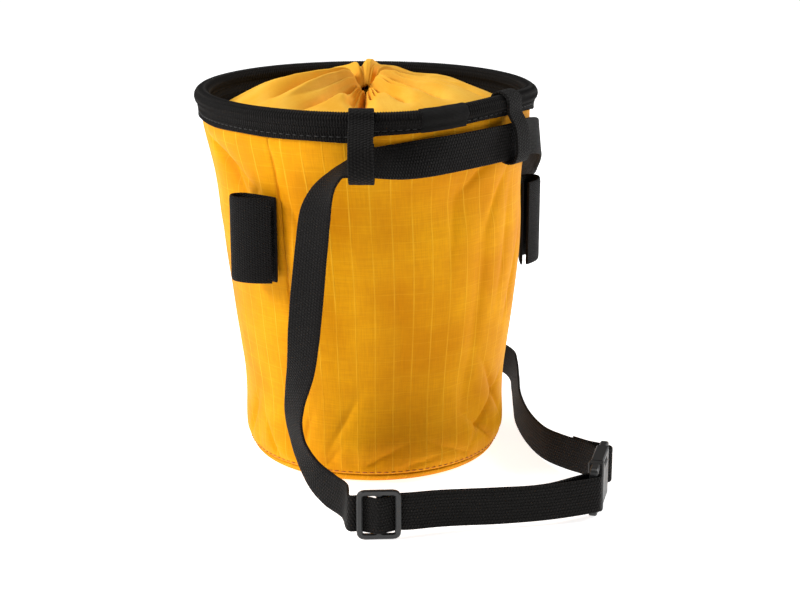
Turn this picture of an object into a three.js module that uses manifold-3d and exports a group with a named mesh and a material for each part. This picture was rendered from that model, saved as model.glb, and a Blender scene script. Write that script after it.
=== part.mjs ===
// Climbing chalk bag: a round ripstop bag with a bound rim, a gathered collar, two belt loops,
// two elastic brush holders and a narrow webbing belt with a slider and a side-release buckle.
// Millimetres, +Z up, origin at the centre of the base. The back panel faces -Y.
// Angles are measured about the bag's axis from -Y towards +X.

import * as THREE from "three";
import { mergeVertices } from "three/addons/utils/BufferGeometryUtils.js";
import Module from "manifold-3d";

const manifold = await Module();
manifold.setup();

// Bag body
const BAG_HEIGHT = 161;
const RIM_DIAMETER = 146;
const BASE_DIAMETER = 114.6;
const WALL = 1.6;
const BASE_EDGE_RADIUS = 5.5;
const BASE_RISE = 4.2;
const SEAM_ANGLE = 64;
const SEAM_DIP = 0.8;
const SEAM_DIP_WIDTH = 5;
const RIM_LEAN = [-2.5, 1.5];

// Rim binding
const BEAD_DIAMETER = 6.6;
const BINDING_TAPE = 1.2;
const HEM_HEIGHT = 11.6;
const HEM_TUCK = 2.7;
const INNER_LEG_HEIGHT = 11.7;

// Gathered collar
const COLLAR_CLOTH = 2;
const COLLAR_RISE = 18.5;
const COLLAR_HOLE_DIAMETER = 6.4;
const COLLAR_EDGE_DROP = 11.2;

// Belt webbing and its loops
const BELT_WIDTH = 15;
const BELT_THICKNESS = 1.2;
const LOOP_WIDTH = 10;
const LOOP_THICKNESS = 1.2;
const LOOP_DROP = 25;

// Brush holders
const LEFT_HOLDER_HEIGHT = 35.5;
const LEFT_HOLDER_FOOT = 88.6;
const RIGHT_HOLDER_HEIGHT = 37.2;
const RIGHT_HOLDER_FOOT = 79.4;
const HOLDER_LENGTH = 19;
const HOLDER_DEPTH = 8;
const HOLDER_ELASTIC = 1.2;

// Slider and buckle
const SLOT_CLEARANCE = 0.4;
const FITTING_BAR = 2.4;
const SLIDER_LENGTH = 17.4;
const SLIDER_THICKNESS = 1.8;
const SLIDER_CENTRE_BAR = 2;
const SLIDER_BEVEL = 0.5;
const BUCKLE_LENGTH = 35;
const BUCKLE_THICKNESS = 6.4;
const BUCKLE_FRAME_THICKNESS = 3.4;
const BUCKLE_SOCKET_SHARE = 0.585;
const BUCKLE_SLOT = 4.4;
const BUCKLE_ARM_LENGTH = 10;
const BUCKLE_ARM_WIDTH = 2.1;
const BUCKLE_BEVEL = 0.5;

// Clearances
const GAP = 0.3;
const FACET_SAG = 0.12;
const FLOOR_GAP = 0.2;
const BACK_TACK = 8.8;

// Values worked out from the sizes above
const RIM_RADIUS = RIM_DIAMETER / 2;
const BASE_RADIUS = BASE_DIAMETER / 2;
const BEAD_RADIUS = BEAD_DIAMETER / 2;
const BEAD_CENTRE_RADIUS = RIM_RADIUS - BEAD_RADIUS;
const BEAD_CENTRE_Z = BAG_HEIGHT - BEAD_RADIUS;
const BEAD_FOOT_Z = BEAD_CENTRE_Z - BEAD_RADIUS;
const CHANNEL = WALL + 2 * GAP;
const HEM_OUTER = BEAD_CENTRE_RADIUS + CHANNEL / 2 + BINDING_TAPE - 0.6;
const HEM_INNER = HEM_OUTER - BINDING_TAPE;
const MOUTH_RADIUS = HEM_INNER - GAP - FACET_SAG;
const LEG_OUTER = MOUTH_RADIUS - WALL - GAP;
const LEG_INNER = LEG_OUTER - BINDING_TAPE;
const HEM_Z = BAG_HEIGHT - HEM_HEIGHT;
const WALL_TOP = BEAD_FOOT_Z - GAP;
const WALL_FOOT = BASE_RISE + GAP;
const FITTING_TALL = BELT_WIDTH + 2 * (SLOT_CLEARANCE + FITTING_BAR);
const COLLAR_RADIUS = LEG_INNER - GAP;
const COLLAR_EDGE_Z = BAG_HEIGHT - COLLAR_EDGE_DROP;

// Wall outline: height as a share of the bag's height, bulge as a share of the step from the
// base radius to the mouth radius.
const WALL_OUTLINE = [
  { height: 0.028, bulge: -0.20 },
  { height: 0.055, bulge: -0.04 },
  { height: 0.090, bulge: 0.00 },
  { height: 0.160, bulge: -0.02 },
  { height: 0.230, bulge: 0.02 },
  { height: 0.300, bulge: 0.14 },
  { height: 0.380, bulge: 0.28 },
  { height: 0.470, bulge: 0.40 },
  { height: 0.560, bulge: 0.52 },
  { height: 0.650, bulge: 0.60 },
  { height: 0.730, bulge: 0.63 },
  { height: 0.790, bulge: 0.70 },
  { height: 0.850, bulge: 0.84 },
  { height: 0.885, bulge: 0.94 },
  { height: 0.912, bulge: 1.00 },
  { height: 1.000, bulge: 1.00 },
];

// Dents in the cloth: angle in degrees, centre height, length and width as shares of the bag's
// height, turn of the length from upright in degrees, depth as a share of the base radius.
const DENTS = [
  { angle: -47, height: 0.80, length: 0.10, width: 0.050, turn: 35, depth: 0.028 },
  { angle: -88, height: 0.815, length: 0.10, width: 0.045, turn: -40, depth: 0.026 },
  { angle: 6, height: 0.76, length: 0.09, width: 0.060, turn: 60, depth: 0.030 },
  { angle: 22, height: 0.13, length: 0.22, width: 0.035, turn: -32, depth: 0.022 },
  { angle: -34, height: 0.06, length: 0.12, width: 0.040, turn: 80, depth: 0.020 },
  { angle: -92, height: 0.09, length: 0.10, width: 0.045, turn: 25, depth: 0.024 },
  { angle: -8, height: 0.40, length: 0.26, width: 0.070, turn: 8, depth: 0.012 },
  { angle: 95, height: 0.78, length: 0.12, width: 0.050, turn: 30, depth: 0.026 },
  { angle: 140, height: 0.70, length: 0.16, width: 0.060, turn: -25, depth: 0.026 },
  { angle: 190, height: 0.55, length: 0.22, width: 0.070, turn: 12, depth: 0.020 },
  { angle: 225, height: 0.80, length: 0.11, width: 0.050, turn: 50, depth: 0.024 },
  { angle: 165, height: 0.16, length: 0.16, width: 0.050, turn: 40, depth: 0.022 },
];

// Collar section: reach as a share of the collar radius, rise as a share of the collar's rise.
const COLLAR_SECTION = [
  { reach: 0.00, rise: 0.52 },
  { reach: 0.06, rise: 0.62 },
  { reach: 0.11, rise: 0.92 },
  { reach: 0.17, rise: 1.00 },
  { reach: 0.26, rise: 0.90 },
  { reach: 0.38, rise: 0.80 },
  { reach: 0.52, rise: 0.70 },
  { reach: 0.68, rise: 0.54 },
  { reach: 0.84, rise: 0.28 },
  { reach: 0.95, rise: 0.07 },
  { reach: 1.00, rise: 0.00 },
];

// Collar folds: valley angle, half width in degrees, depth as a share of the collar's rise,
// reach of the fold as a share of the collar radius.
const COLLAR_FOLDS = [
  { angle: -34, half: 9, depth: 0.42, reach: 0.80 },
  { angle: -62, half: 11, depth: 0.34, reach: 0.92 },
  { angle: -90, half: 10, depth: 0.36, reach: 0.86 },
  { angle: -118, half: 12, depth: 0.32, reach: 0.95 },
  { angle: -150, half: 12, depth: 0.46, reach: 0.70 },
  { angle: -7, half: 8, depth: 0.30, reach: 0.72 },
  { angle: 20, half: 9, depth: 0.26, reach: 0.78 },
  { angle: 50, half: 11, depth: 0.24, reach: 0.88 },
  { angle: 82, half: 12, depth: 0.26, reach: 0.84 },
  { angle: 116, half: 12, depth: 0.30, reach: 0.80 },
  { angle: 148, half: 12, depth: 0.28, reach: 0.76 },
  { angle: 180, half: 11, depth: 0.34, reach: 0.72 },
];

// Where the collar's cloth lies higher: angle, half width, lift as a share of the collar's rise.
const COLLAR_SWELLS = [
  { angle: -92, half: 55, lift: 0.26 },
];

// The rim is not quite level: rise as a share of the bag's height, fading out over half.
const RIM_WAVES = [
  { angle: 25, half: 46, rise: 0.0155 },
];

// Where the hem is tucked up shorter, as a share of the full tuck.
const HEM_TUCKS = [
  { angle: -34, tuck: 0 },
  { angle: -26, tuck: 1 },
  { angle: 45, tuck: 1 },
  { angle: 62, tuck: 0 },
];

// Belt loops: angle, and how far the band stands off the rim radius as a share of its width.
const BELT_LOOPS = [
  { name: "belt_loop_left", angle: -31.5, stand: 1.43 },
  { name: "belt_loop_right", angle: 24, stand: 0.52 },
];

// Brush holders: side of the bag, lower edge, height, and how far the flat tube swings out
// from the wall, in degrees.
const BRUSH_HOLDERS = [
  { name: "brush_holder_left", side: -1, foot: LEFT_HOLDER_FOOT, height: LEFT_HOLDER_HEIGHT, swing: 0 },
  { name: "brush_holder_right", side: 1, foot: RIGHT_HOLDER_FOOT, height: RIGHT_HOLDER_HEIGHT, swing: 8 },
];

// Band of a belt loop outside the rim: out runs from the wall (0) to the full stand-off (1),
// drop is a share of the loop's drop below the bag's top.
const LOOP_BAND = [
  { out: 0.60, drop: 0.29 },
  { out: 0.90, drop: 0.50 },
  { out: 1.00, drop: 0.74 },
  { out: 0.98, drop: 0.90 },
  { out: 0.82, drop: 1.00 },
  { out: 0.48, drop: 1.02 },
  { out: 0.18, drop: 0.97 },
];

// Elastic tube of a brush holder, sewn into the side seam: along is a share of its length from
// the seam, off a share of its depth away from its wall side.
const HOLDER_BAND = [
  { along: 0.00, off: 0.04 },
  { along: 0.30, off: 0.00 },
  { along: 0.62, off: 0.00 },
  { along: 0.84, off: 0.08 },
  { along: 0.96, off: 0.30 },
  { along: 1.00, off: 0.56 },
  { along: 0.95, off: 0.82 },
  { along: 0.82, off: 0.98 },
  { along: 0.62, off: 1.00 },
  { along: 0.40, off: 0.88 },
  { along: 0.18, off: 0.60 },
  { along: 0.03, off: 0.34 },
];

// Belt route: x and y as shares of the rim radius, up as a share of the bag's height, lift as
// a share of the buckle's and slider's height, then the direction across the webbing.
const BELT_BACK = [
  { x: 0.703, y: -1.214, up: 0.000, lift: 0.48, w: [0.00, 0.00, -1.00] },
  { x: 0.692, y: -1.049, up: 0.000, lift: 0.42, w: [0.00, 0.00, -1.00] },
  { x: 0.690, y: -0.846, up: 0.000, lift: 0.38, w: [0.00, 0.00, -1.00] },
  { x: 0.757, y: -0.583, up: 0.000, lift: 0.375, w: [-0.03, 0.02, -1.00] },
  { x: 0.911, y: -0.245, up: 0.000, lift: 0.375, w: [-0.09, 0.05, -1.00] },
  { x: 1.087, y: 0.033, up: 0.000, lift: 0.375, w: [-0.12, 0.07, -1.00] },
  { x: 1.258, y: 0.298, up: 0.000, lift: 0.375, w: [-0.12, 0.07, -1.00] },
  { x: 1.379, y: 0.512, up: 0.000, lift: 0.38, w: [-0.09, 0.05, -1.00] },
  { x: 1.403, y: 0.698, up: 0.000, lift: 0.40, w: [0.00, 0.00, -1.00] },
  { x: 1.333, y: 0.834, up: 0.065, lift: 0.00, w: [-0.08, 0.10, -1.00] },
  { x: 1.226, y: 0.910, up: 0.109, lift: 0.00, w: [-0.37, 0.36, -0.85] },
  { x: 1.134, y: 0.917, up: 0.205, lift: 0.00, w: [-0.58, 0.68, -0.35] },
  { x: 1.115, y: 0.832, up: 0.323, lift: 0.00, w: [-0.57, 0.81, -0.10] },
  { x: 1.146, y: 0.670, up: 0.460, lift: 0.00, w: [-0.48, 0.87, 0.00] },
  { x: 1.170, y: 0.432, up: 0.596, lift: 0.00, w: [-0.30, 0.95, 0.00] },
  { x: 1.126, y: 0.138, up: 0.704, lift: 0.00, w: [-0.10, 0.99, 0.03] },
  { x: 0.972, y: -0.224, up: 0.784, lift: 0.00, w: [0.22, 0.95, 0.20] },
  { x: 0.772, y: -0.592, up: 0.863, lift: 0.00, w: [0.39, 0.75, 0.50] },
  { x: 0.654, y: -0.737, up: 0.888, lift: 0.00, w: [0.27, 0.36, 0.88] },
  { x: 0.521, y: -0.824, up: 0.898, lift: 0.00, w: [0.09, 0.09, 1.00] },
];
const BELT_FRONT = [
  { x: 0.382, y: -0.907, up: 0.899, lift: 0.00, w: [0.00, 0.00, 1.00] },
  { x: 0.145, y: -0.959, up: 0.896, lift: 0.00, w: [0.00, 0.00, 1.00] },
  { x: -0.110, y: -0.972, up: 0.890, lift: 0.00, w: [0.03, 0.06, 1.00] },
  { x: -0.356, y: -0.946, up: 0.884, lift: 0.00, w: [0.26, 0.46, 0.84] },
  { x: -0.586, y: -0.902, up: 0.882, lift: 0.00, w: [0.45, 0.75, 0.47] },
  { x: -0.681, y: -0.839, up: 0.867, lift: 0.00, w: [0.33, 0.91, 0.05] },
  { x: -0.728, y: -0.817, up: 0.846, lift: 0.00, w: [0.12, 0.98, -0.10] },
  { x: -0.775, y: -0.789, up: 0.807, lift: 0.00, w: [-0.22, 0.95, -0.22] },
  { x: -0.804, y: -0.772, up: 0.764, lift: 0.00, w: [-0.41, 0.87, -0.28] },
  { x: -0.824, y: -0.759, up: 0.683, lift: 0.00, w: [-0.47, 0.87, -0.15] },
  { x: -0.849, y: -0.745, up: 0.558, lift: 0.00, w: [-0.52, 0.85, -0.08] },
  { x: -0.867, y: -0.734, up: 0.458, lift: 0.00, w: [-0.48, 0.87, -0.02] },
  { x: -0.878, y: -0.711, up: 0.366, lift: 0.00, w: [-0.30, 0.95, 0.00] },
  { x: -0.897, y: -0.676, up: 0.289, lift: 0.00, w: [-0.05, 1.00, 0.02] },
  { x: -0.900, y: -0.658, up: 0.230, lift: 0.00, w: [0.04, 1.00, 0.00] },
  { x: -0.882, y: -0.669, up: 0.173, lift: 0.00, w: [0.06, 1.00, -0.10] },
  { x: -0.861, y: -0.714, up: 0.127, lift: 0.00, w: [-0.01, 0.93, -0.37] },
  { x: -0.836, y: -0.801, up: 0.000, lift: 0.68, w: [-0.14, 0.79, -0.60] },
  { x: -0.815, y: -0.917, up: 0.000, lift: 0.54, w: [-0.18, 0.52, -0.84] },
  { x: -0.805, y: -1.059, up: 0.000, lift: 0.50, w: [-0.08, 0.12, -0.99] },
];
const BELT_DOUBLED = [
  { x: -0.405, y: -1.418, up: 0.000, lift: 0.49, w: [0.00, 0.00, -1.00] },
  { x: -0.106, y: -1.534, up: 0.000, lift: 0.46, w: [0.00, 0.00, -1.00] },
  { x: 0.141, y: -1.627, up: 0.000, lift: 0.47, w: [0.00, 0.00, -1.00] },
];

// Where the slider and the buckle stand: x and y of their middles as shares of the rim
// radius, and the directions of their lengths in degrees from +X towards +Y.
const SLIDER_SPOT = { x: -0.746, y: -1.329, heading: -28 };
const BUCKLE_SPOT = { x: 0.575, y: -1.516, heading: 45 };
const BACK_STRAP_HEADING = 98;
const FRONT_STRAP_HEADING = 164;

const CLOTH_YELLOW = { color: 0xf2ae24, roughness: 0.72, metalness: 0 };
const COLLAR_YELLOW = { color: 0xf7bd45, roughness: 0.7, metalness: 0 };
const WEBBING_BLACK = { color: 0x201d1c, roughness: 0.85, metalness: 0 };
const ELASTIC_BLACK = { color: 0x1b1817, roughness: 0.9, metalness: 0 };
const PLASTIC_BLACK = { color: 0x1d1c1d, roughness: 0.38, metalness: 0 };

const radians = (degrees) => (degrees * Math.PI) / 180;
const clamp01 = (t) => Math.min(1, Math.max(0, t));
const smooth = (t) => clamp01(t) ** 2 * (3 - 2 * clamp01(t));
const mix = (a, b, t) => a + (b - a) * t;

// Smooth value from a table: rows are sorted by the key column.
function tableValue(rows, key, value, at) {
  const last = rows.length - 1;
  if (at <= rows[0][key]) return rows[0][value];
  if (at >= rows[last][key]) return rows[last][value];
  let i = 0;
  while (at > rows[i + 1][key]) i += 1;
  const before = rows[Math.max(i - 1, 0)];
  const low = rows[i];
  const high = rows[i + 1];
  const after = rows[Math.min(i + 2, last)];
  const span = high[key] - low[key];
  const t = (at - low[key]) / span;
  const slopeLow = ((high[value] - before[value]) / (high[key] - before[key])) * span;
  const slopeHigh = ((after[value] - low[value]) / (after[key] - low[key])) * span;
  const a = 2 * low[value] - 2 * high[value] + slopeLow + slopeHigh;
  const b = -3 * low[value] + 3 * high[value] - 2 * slopeLow - slopeHigh;
  return ((a * t + b) * t + slopeLow) * t + low[value];
}

function angleBetween(a, b) {
  return ((a - b + 540) % 360) - 180;
}

// Share of the bag's height below the hem where the wall keeps clear of dents.
const HEM_CALM = 0.012;

// The rim stands a little to one side of the base.
function leanAt(z) {
  const share = smooth((z / BAG_HEIGHT - 0.45) / 0.5);
  return [RIM_LEAN[0] * share, RIM_LEAN[1] * share];
}

function riseAt(angle, z) {
  const near = smooth((z / BAG_HEIGHT - 0.8) / 0.13);
  let rise = 0;
  for (const wave of RIM_WAVES) {
    const fade = smooth(1 - Math.abs(angleBetween(angle, wave.angle)) / wave.half);
    rise += wave.rise * BAG_HEIGHT * fade * near;
  }
  return rise;
}

function around(angle, radius, z) {
  const [dx, dy] = leanAt(z);
  const a = radians(angle);
  const level = z + riseAt(angle, z);
  return new THREE.Vector3(radius * Math.sin(a) + dx, -radius * Math.cos(a) + dy, level);
}

function dentDepth(angle, z) {
  let depth = 0;
  for (const dent of DENTS) {
    const across = radians(angleBetween(angle, dent.angle)) * BASE_RADIUS;
    const up = z - dent.height * BAG_HEIGHT;
    const turn = radians(dent.turn);
    const along = up * Math.cos(turn) + across * Math.sin(turn);
    const aside = across * Math.cos(turn) - up * Math.sin(turn);
    const reach = (along / (dent.length * BAG_HEIGHT)) ** 2;
    const spread = (aside / (dent.width * BAG_HEIGHT)) ** 2;
    depth += dent.depth * BASE_RADIUS * Math.exp(-reach - spread);
  }
  return depth;
}

function plainWallRadius(z) {
  const bulge = tableValue(WALL_OUTLINE, "height", "bulge", z / BAG_HEIGHT);
  return mix(BASE_RADIUS, MOUTH_RADIUS, bulge);
}

function wallRadius(angle, z) {
  const seam = Math.min(
    Math.abs(angleBetween(angle, SEAM_ANGLE)),
    Math.abs(angleBetween(angle, -SEAM_ANGLE)),
  );
  const below = (HEM_Z - z) / BAG_HEIGHT - HEM_CALM;
  const free = smooth(below / 0.06) * smooth((z - WALL_FOOT) / (0.03 * BAG_HEIGHT));
  const dip = SEAM_DIP * Math.exp(-((seam / SEAM_DIP_WIDTH) ** 2));
  return plainWallRadius(z) - free * (dentDepth(angle, z) + dip);
}

function geometryFrom(points, triangles) {
  const geometry = new THREE.BufferGeometry();
  const flat = new Float32Array(points.length * 3);
  points.forEach((p, i) => p.toArray(flat, i * 3));
  geometry.setAttribute("position", new THREE.BufferAttribute(flat, 3));
  geometry.setIndex(triangles);
  geometry.computeVertexNormals();
  return geometry;
}

// A section (closed loop of points) carried through a list of stations. The ends are capped,
// or joined to each other when the run closes on itself.
function sweep(sections, closes) {
  const points = sections.flat();
  const around = sections[0].length;
  const count = sections.length;
  const triangles = [];
  const steps = closes ? count : count - 1;
  for (let s = 0; s < steps; s += 1) {
    const a = s * around;
    const b = ((s + 1) % count) * around;
    for (let k = 0; k < around; k += 1) {
      const n = (k + 1) % around;
      triangles.push(a + k, a + n, b + n, a + k, b + n, b + k);
    }
  }
  if (!closes) {
    const end = (count - 1) * around;
    for (let k = 1; k < around - 1; k += 1) {
      triangles.push(0, k + 1, k, end, end + k, end + k + 1);
    }
  }
  const geometry = geometryFrom(points, triangles);
  return turnedOutwards(geometry);
}

function signedVolume(geometry) {
  const p = geometry.getAttribute("position");
  const index = geometry.getIndex().array;
  const a = new THREE.Vector3();
  const b = new THREE.Vector3();
  const c = new THREE.Vector3();
  let sum = 0;
  for (let i = 0; i < index.length; i += 3) {
    a.fromBufferAttribute(p, index[i]);
    b.fromBufferAttribute(p, index[i + 1]);
    c.fromBufferAttribute(p, index[i + 2]);
    sum += a.dot(b.cross(c));
  }
  return sum;
}

function turnedOutwards(geometry) {
  if (signedVolume(geometry) < 0) {
    const index = geometry.getIndex().array;
    for (let i = 0; i < index.length; i += 3) {
      const keep = index[i];
      index[i] = index[i + 1];
      index[i + 1] = keep;
    }
    geometry.computeVertexNormals();
  }
  return geometry;
}

function named(name, geometry, look) {
  const material = new THREE.MeshStandardMaterial(look);
  const mesh = new THREE.Mesh(geometry, material);
  mesh.name = name;
  return mesh;
}

// One wall panel between two angles: an outer skin, an inner skin and the four edges.
function wallPanel(from, to, columns, rows) {
  const gapAngle = (GAP / 2 / BASE_RADIUS) * (180 / Math.PI);
  const sections = [];
  for (let i = 0; i <= columns; i += 1) {
    const angle = mix(from + gapAngle, to - gapAngle, i / columns);
    const section = [];
    for (let j = 0; j <= rows; j += 1) {
      const z = mix(WALL_FOOT, WALL_TOP, j / rows);
      section.push(around(angle, wallRadius(angle, z), z));
    }
    for (let j = rows; j >= 0; j -= 1) {
      const z = mix(WALL_FOOT, WALL_TOP, j / rows);
      section.push(around(angle, wallRadius(angle, z) - WALL, z));
    }
    sections.push(section);
  }
  return cappedStrip(sections, rows);
}

// As sweep, with ends that follow a thin bent section as a ladder of quads.
function cappedStrip(sections, rows) {
  const points = sections.flat();
  const loop = sections[0].length;
  const count = sections.length;
  const triangles = [];
  for (let s = 0; s < count - 1; s += 1) {
    const a = s * loop;
    const b = (s + 1) * loop;
    for (let k = 0; k < loop; k += 1) {
      const n = (k + 1) % loop;
      triangles.push(a + k, a + n, b + n, a + k, b + n, b + k);
    }
  }
  const end = (count - 1) * loop;
  for (let j = 0; j < rows; j += 1) {
    const outer = j;
    const outerNext = j + 1;
    const inner = loop - 1 - j;
    const innerNext = loop - 2 - j;
    triangles.push(outer, innerNext, outerNext, outer, inner, innerNext);
    triangles.push(end + outer, end + outerNext, end + innerNext);
    triangles.push(end + outer, end + innerNext, end + inner);
  }
  return turnedOutwards(geometryFrom(points, triangles));
}

function basePanel() {
  const rim = plainWallRadius(BASE_RISE);
  const arc = [];
  const steps = 4;
  const flatRadius = rim - BASE_EDGE_RADIUS;
  for (let i = 0; i <= steps; i += 1) {
    const a = (i / steps) * (Math.PI / 2);
    arc.push([flatRadius + BASE_EDGE_RADIUS * Math.sin(a), BASE_RISE * (1 - Math.cos(a))]);
  }
  const profile = [new THREE.Vector2(0, 0)];
  arc.forEach(([r, z]) => profile.push(new THREE.Vector2(r, z)));
  const scaleIn = (flatRadius + BASE_EDGE_RADIUS - WALL) / (flatRadius + BASE_EDGE_RADIUS);
  profile.push(new THREE.Vector2(rim * scaleIn, BASE_RISE));
  profile.push(new THREE.Vector2(flatRadius * scaleIn, WALL));
  profile.push(new THREE.Vector2(0, WALL));
  const turned = new THREE.LatheGeometry(profile, 48);
  turned.rotateX(Math.PI / 2);
  turned.deleteAttribute("uv");
  turned.deleteAttribute("normal");
  const merged = mergeVertices(turned, 1e-3);
  merged.setIndex(withoutSlivers(merged));
  return turnedOutwards(merged);
}

function withoutSlivers(geometry) {
  const index = geometry.getIndex().array;
  const kept = [];
  for (let i = 0; i < index.length; i += 3) {
    const [a, b, c] = [index[i], index[i + 1], index[i + 2]];
    if (a !== b && b !== c && c !== a) kept.push(a, b, c);
  }
  return kept;
}

// Rim binding: a bead on top of two legs that hold the wall's top edge between them.
function rimBinding() {
  const profile = [
    [HEM_INNER, HEM_Z],
    [HEM_OUTER, HEM_Z],
  ];
  const arcSteps = 7;
  for (let i = 0; i <= arcSteps; i += 1) {
    const a = radians(mix(-42, 222, i / arcSteps));
    profile.push([
      BEAD_CENTRE_RADIUS + BEAD_RADIUS * Math.cos(a),
      BEAD_CENTRE_Z + BEAD_RADIUS * Math.sin(a),
    ]);
  }
  const legFoot = BAG_HEIGHT - INNER_LEG_HEIGHT;
  profile.push([LEG_INNER, legFoot]);
  profile.push([LEG_OUTER, legFoot]);
  profile.push([LEG_OUTER, BEAD_FOOT_Z]);
  profile.push([HEM_INNER, BEAD_FOOT_Z]);
  const sections = [];
  const count = 54;
  for (let i = 0; i < count; i += 1) {
    const angle = (i / count) * 360 - 180;
    const tuck = HEM_TUCK * tableValue(HEM_TUCKS, "angle", "tuck", angle);
    sections.push(profile.map(([r, z], k) => around(angle, r, z + (k < 2 ? tuck : 0))));
  }
  return sweep(sections, true);
}

function collarHeight(angle, radius) {
  const reach = radius / COLLAR_RADIUS;
  let rise = tableValue(COLLAR_SECTION, "reach", "rise", reach);
  for (const swell of COLLAR_SWELLS) {
    const near = smooth(1 - Math.abs(angleBetween(angle, swell.angle)) / swell.half);
    rise += swell.lift * near * smooth(reach / 0.35) * smooth((1 - reach) / 0.45);
  }
  for (const fold of COLLAR_FOLDS) {
    const aside = Math.abs(angleBetween(angle, fold.angle)) / fold.half;
    const valley = Math.max(0, 1 - aside) ** 1.3;
    const fade = smooth((fold.reach - reach) / (0.55 * fold.reach)) * smooth(reach / 0.2);
    rise -= fold.depth * valley * fade;
  }
  return COLLAR_EDGE_Z + COLLAR_RISE * rise;
}

function collar() {
  const rings = 10;
  const spokes = 60;
  const hole = COLLAR_HOLE_DIAMETER / 2;
  const sections = [];
  for (let i = 0; i < spokes; i += 1) {
    const angle = (i / spokes) * 360;
    const top = [];
    const under = [];
    for (let j = 0; j <= rings; j += 1) {
      const radius = mix(hole, COLLAR_RADIUS, (j / rings) ** 1.15);
      const z = collarHeight(angle, radius);
      top.push(around(angle, radius, z));
      under.push(around(angle, radius, z - COLLAR_CLOTH));
    }
    sections.push([...top, ...under.reverse()]);
  }
  return sweep(sections, true);
}

// Webbing: a flat band swept through stations that give a point and a direction across it.
function webbing(stations, width, thickness, stepsBetween) {
  const path = new THREE.CatmullRomCurve3(stations.map((s) => s.point), false, "centripetal");
  const across = stations.map((s) => s.across);
  const last = stations.length - 1;
  const sections = [];
  for (let i = 0; i < last; i += 1) {
    const steps = stations[i].steps ?? stepsBetween;
    const stop = i === last - 1 ? steps : steps - 1;
    for (let k = 0; k <= stop; k += 1) {
      const t = (i + k / steps) / last;
      const centre = path.getPoint(t);
      const run = path.getTangent(t);
      const side = across[i].clone().lerp(across[i + 1], k / steps);
      side.addScaledVector(run, -side.dot(run)).normalize();
      const face = new THREE.Vector3().crossVectors(run, side);
      sections.push([
        corner(centre, side, -width / 2, face, -thickness / 2),
        corner(centre, side, width / 2, face, -thickness / 2),
        corner(centre, side, width / 2, face, thickness / 2),
        corner(centre, side, -width / 2, face, thickness / 2),
      ]);
    }
  }
  return sweep(sections, false);
}

function corner(centre, side, across, face, off) {
  return centre.clone().addScaledVector(side, across).addScaledVector(face, off);
}

function beltLoop(loop) {
  const standing = RIM_RADIUS + loop.stand * LOOP_WIDTH;
  const half = LOOP_THICKNESS / 2;
  const over = BEAD_RADIUS + GAP + FACET_SAG + half;
  const wallFace = plainWallRadius(BAG_HEIGHT - LOOP_DROP) + GAP + half;
  const route = [[BEAD_CENTRE_RADIUS - over, BEAD_CENTRE_Z - 1.5 * BEAD_RADIUS]];
  for (const turn of [180, 135, 90, 48, 12]) {
    const a = radians(turn);
    route.push([BEAD_CENTRE_RADIUS + over * Math.cos(a), BEAD_CENTRE_Z + over * Math.sin(a)]);
  }
  for (const row of LOOP_BAND) {
    route.push([mix(wallFace, standing, row.out), BAG_HEIGHT - row.drop * LOOP_DROP]);
  }
  const riseTo = HEM_Z - GAP - half;
  const risen = plainWallRadius(riseTo) + GAP + half;
  route.push([mix(wallFace, risen, 0.5) + GAP, mix(BAG_HEIGHT - LOOP_DROP, riseTo, 0.5)]);
  route.push([risen, riseTo]);
  const a = radians(loop.angle);
  const across = new THREE.Vector3(Math.cos(a), Math.sin(a), 0);
  const stations = route.map(([radius, z]) => ({ point: around(loop.angle, radius, z), across }));
  return webbing(stations, LOOP_WIDTH, LOOP_THICKNESS, 2);
}

function brushHolder(holder) {
  const middle = holder.foot + holder.height / 2;
  const widest = plainWallRadius(holder.foot + holder.height) + GAP + HOLDER_ELASTIC / 2;
  const seam = around(holder.side * (SEAM_ANGLE + 1), widest, middle);
  const heading = radians(holder.side * (SEAM_ANGLE + 1 - holder.swing));
  const away = new THREE.Vector3(Math.cos(heading), Math.sin(heading), 0).multiplyScalar(holder.side);
  const outward = new THREE.Vector3(Math.sin(heading), -Math.cos(heading), 0);
  const across = new THREE.Vector3(0, 0, 1);
  const stations = HOLDER_BAND.map((row) => {
    const point = seam.clone();
    point.addScaledVector(away, row.along * HOLDER_LENGTH);
    point.addScaledVector(outward, row.off * HOLDER_DEPTH);
    return { point, across };
  });
  return webbing(stations, holder.height, HOLDER_ELASTIC, 2);
}

function beltStation(row) {
  const z = row.up * BAG_HEIGHT + row.lift * FITTING_TALL;
  return {
    point: new THREE.Vector3(row.x * RIM_RADIUS, row.y * RIM_RADIUS, z),
    across: new THREE.Vector3(...row.w).normalize(),
  };
}

// A point in the frame of a fitting that stands on its edge: along its length, off its face.
function spotPoint(spot, along, off) {
  const a = radians(spot.heading);
  return new THREE.Vector3(
    spot.x * RIM_RADIUS + along * Math.cos(a) + off * Math.sin(a),
    spot.y * RIM_RADIUS + along * Math.sin(a) - off * Math.cos(a),
    FITTING_TALL / 2 + FLOOR_GAP,
  );
}

const DOWN = new THREE.Vector3(0, 0, -1);
const LAYER = BELT_THICKNESS + GAP;

// The webbing passes behind the slider's side bars and in front of its centre bar.
function sliderWeave() {
  const off = SLIDER_THICKNESS / 2 + BELT_THICKNESS / 2 + GAP;
  const end = SLIDER_LENGTH / 2;
  const bar = end - FITTING_BAR / 2;
  const inner = end - FITTING_BAR;
  const rows = [
    [-end - 2.5, -off],
    [-bar, -off],
    [-mix(inner, SLIDER_CENTRE_BAR / 2, 0.5), 0],
    [0, off],
    [mix(inner, SLIDER_CENTRE_BAR / 2, 0.5), 0],
    [bar, -off],
    [end + 2.5, -off],
  ];
  return rows.map(([along, offset]) => {
    return { point: spotPoint(SLIDER_SPOT, along, offset), across: DOWN, steps: 3 };
  });
}

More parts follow.
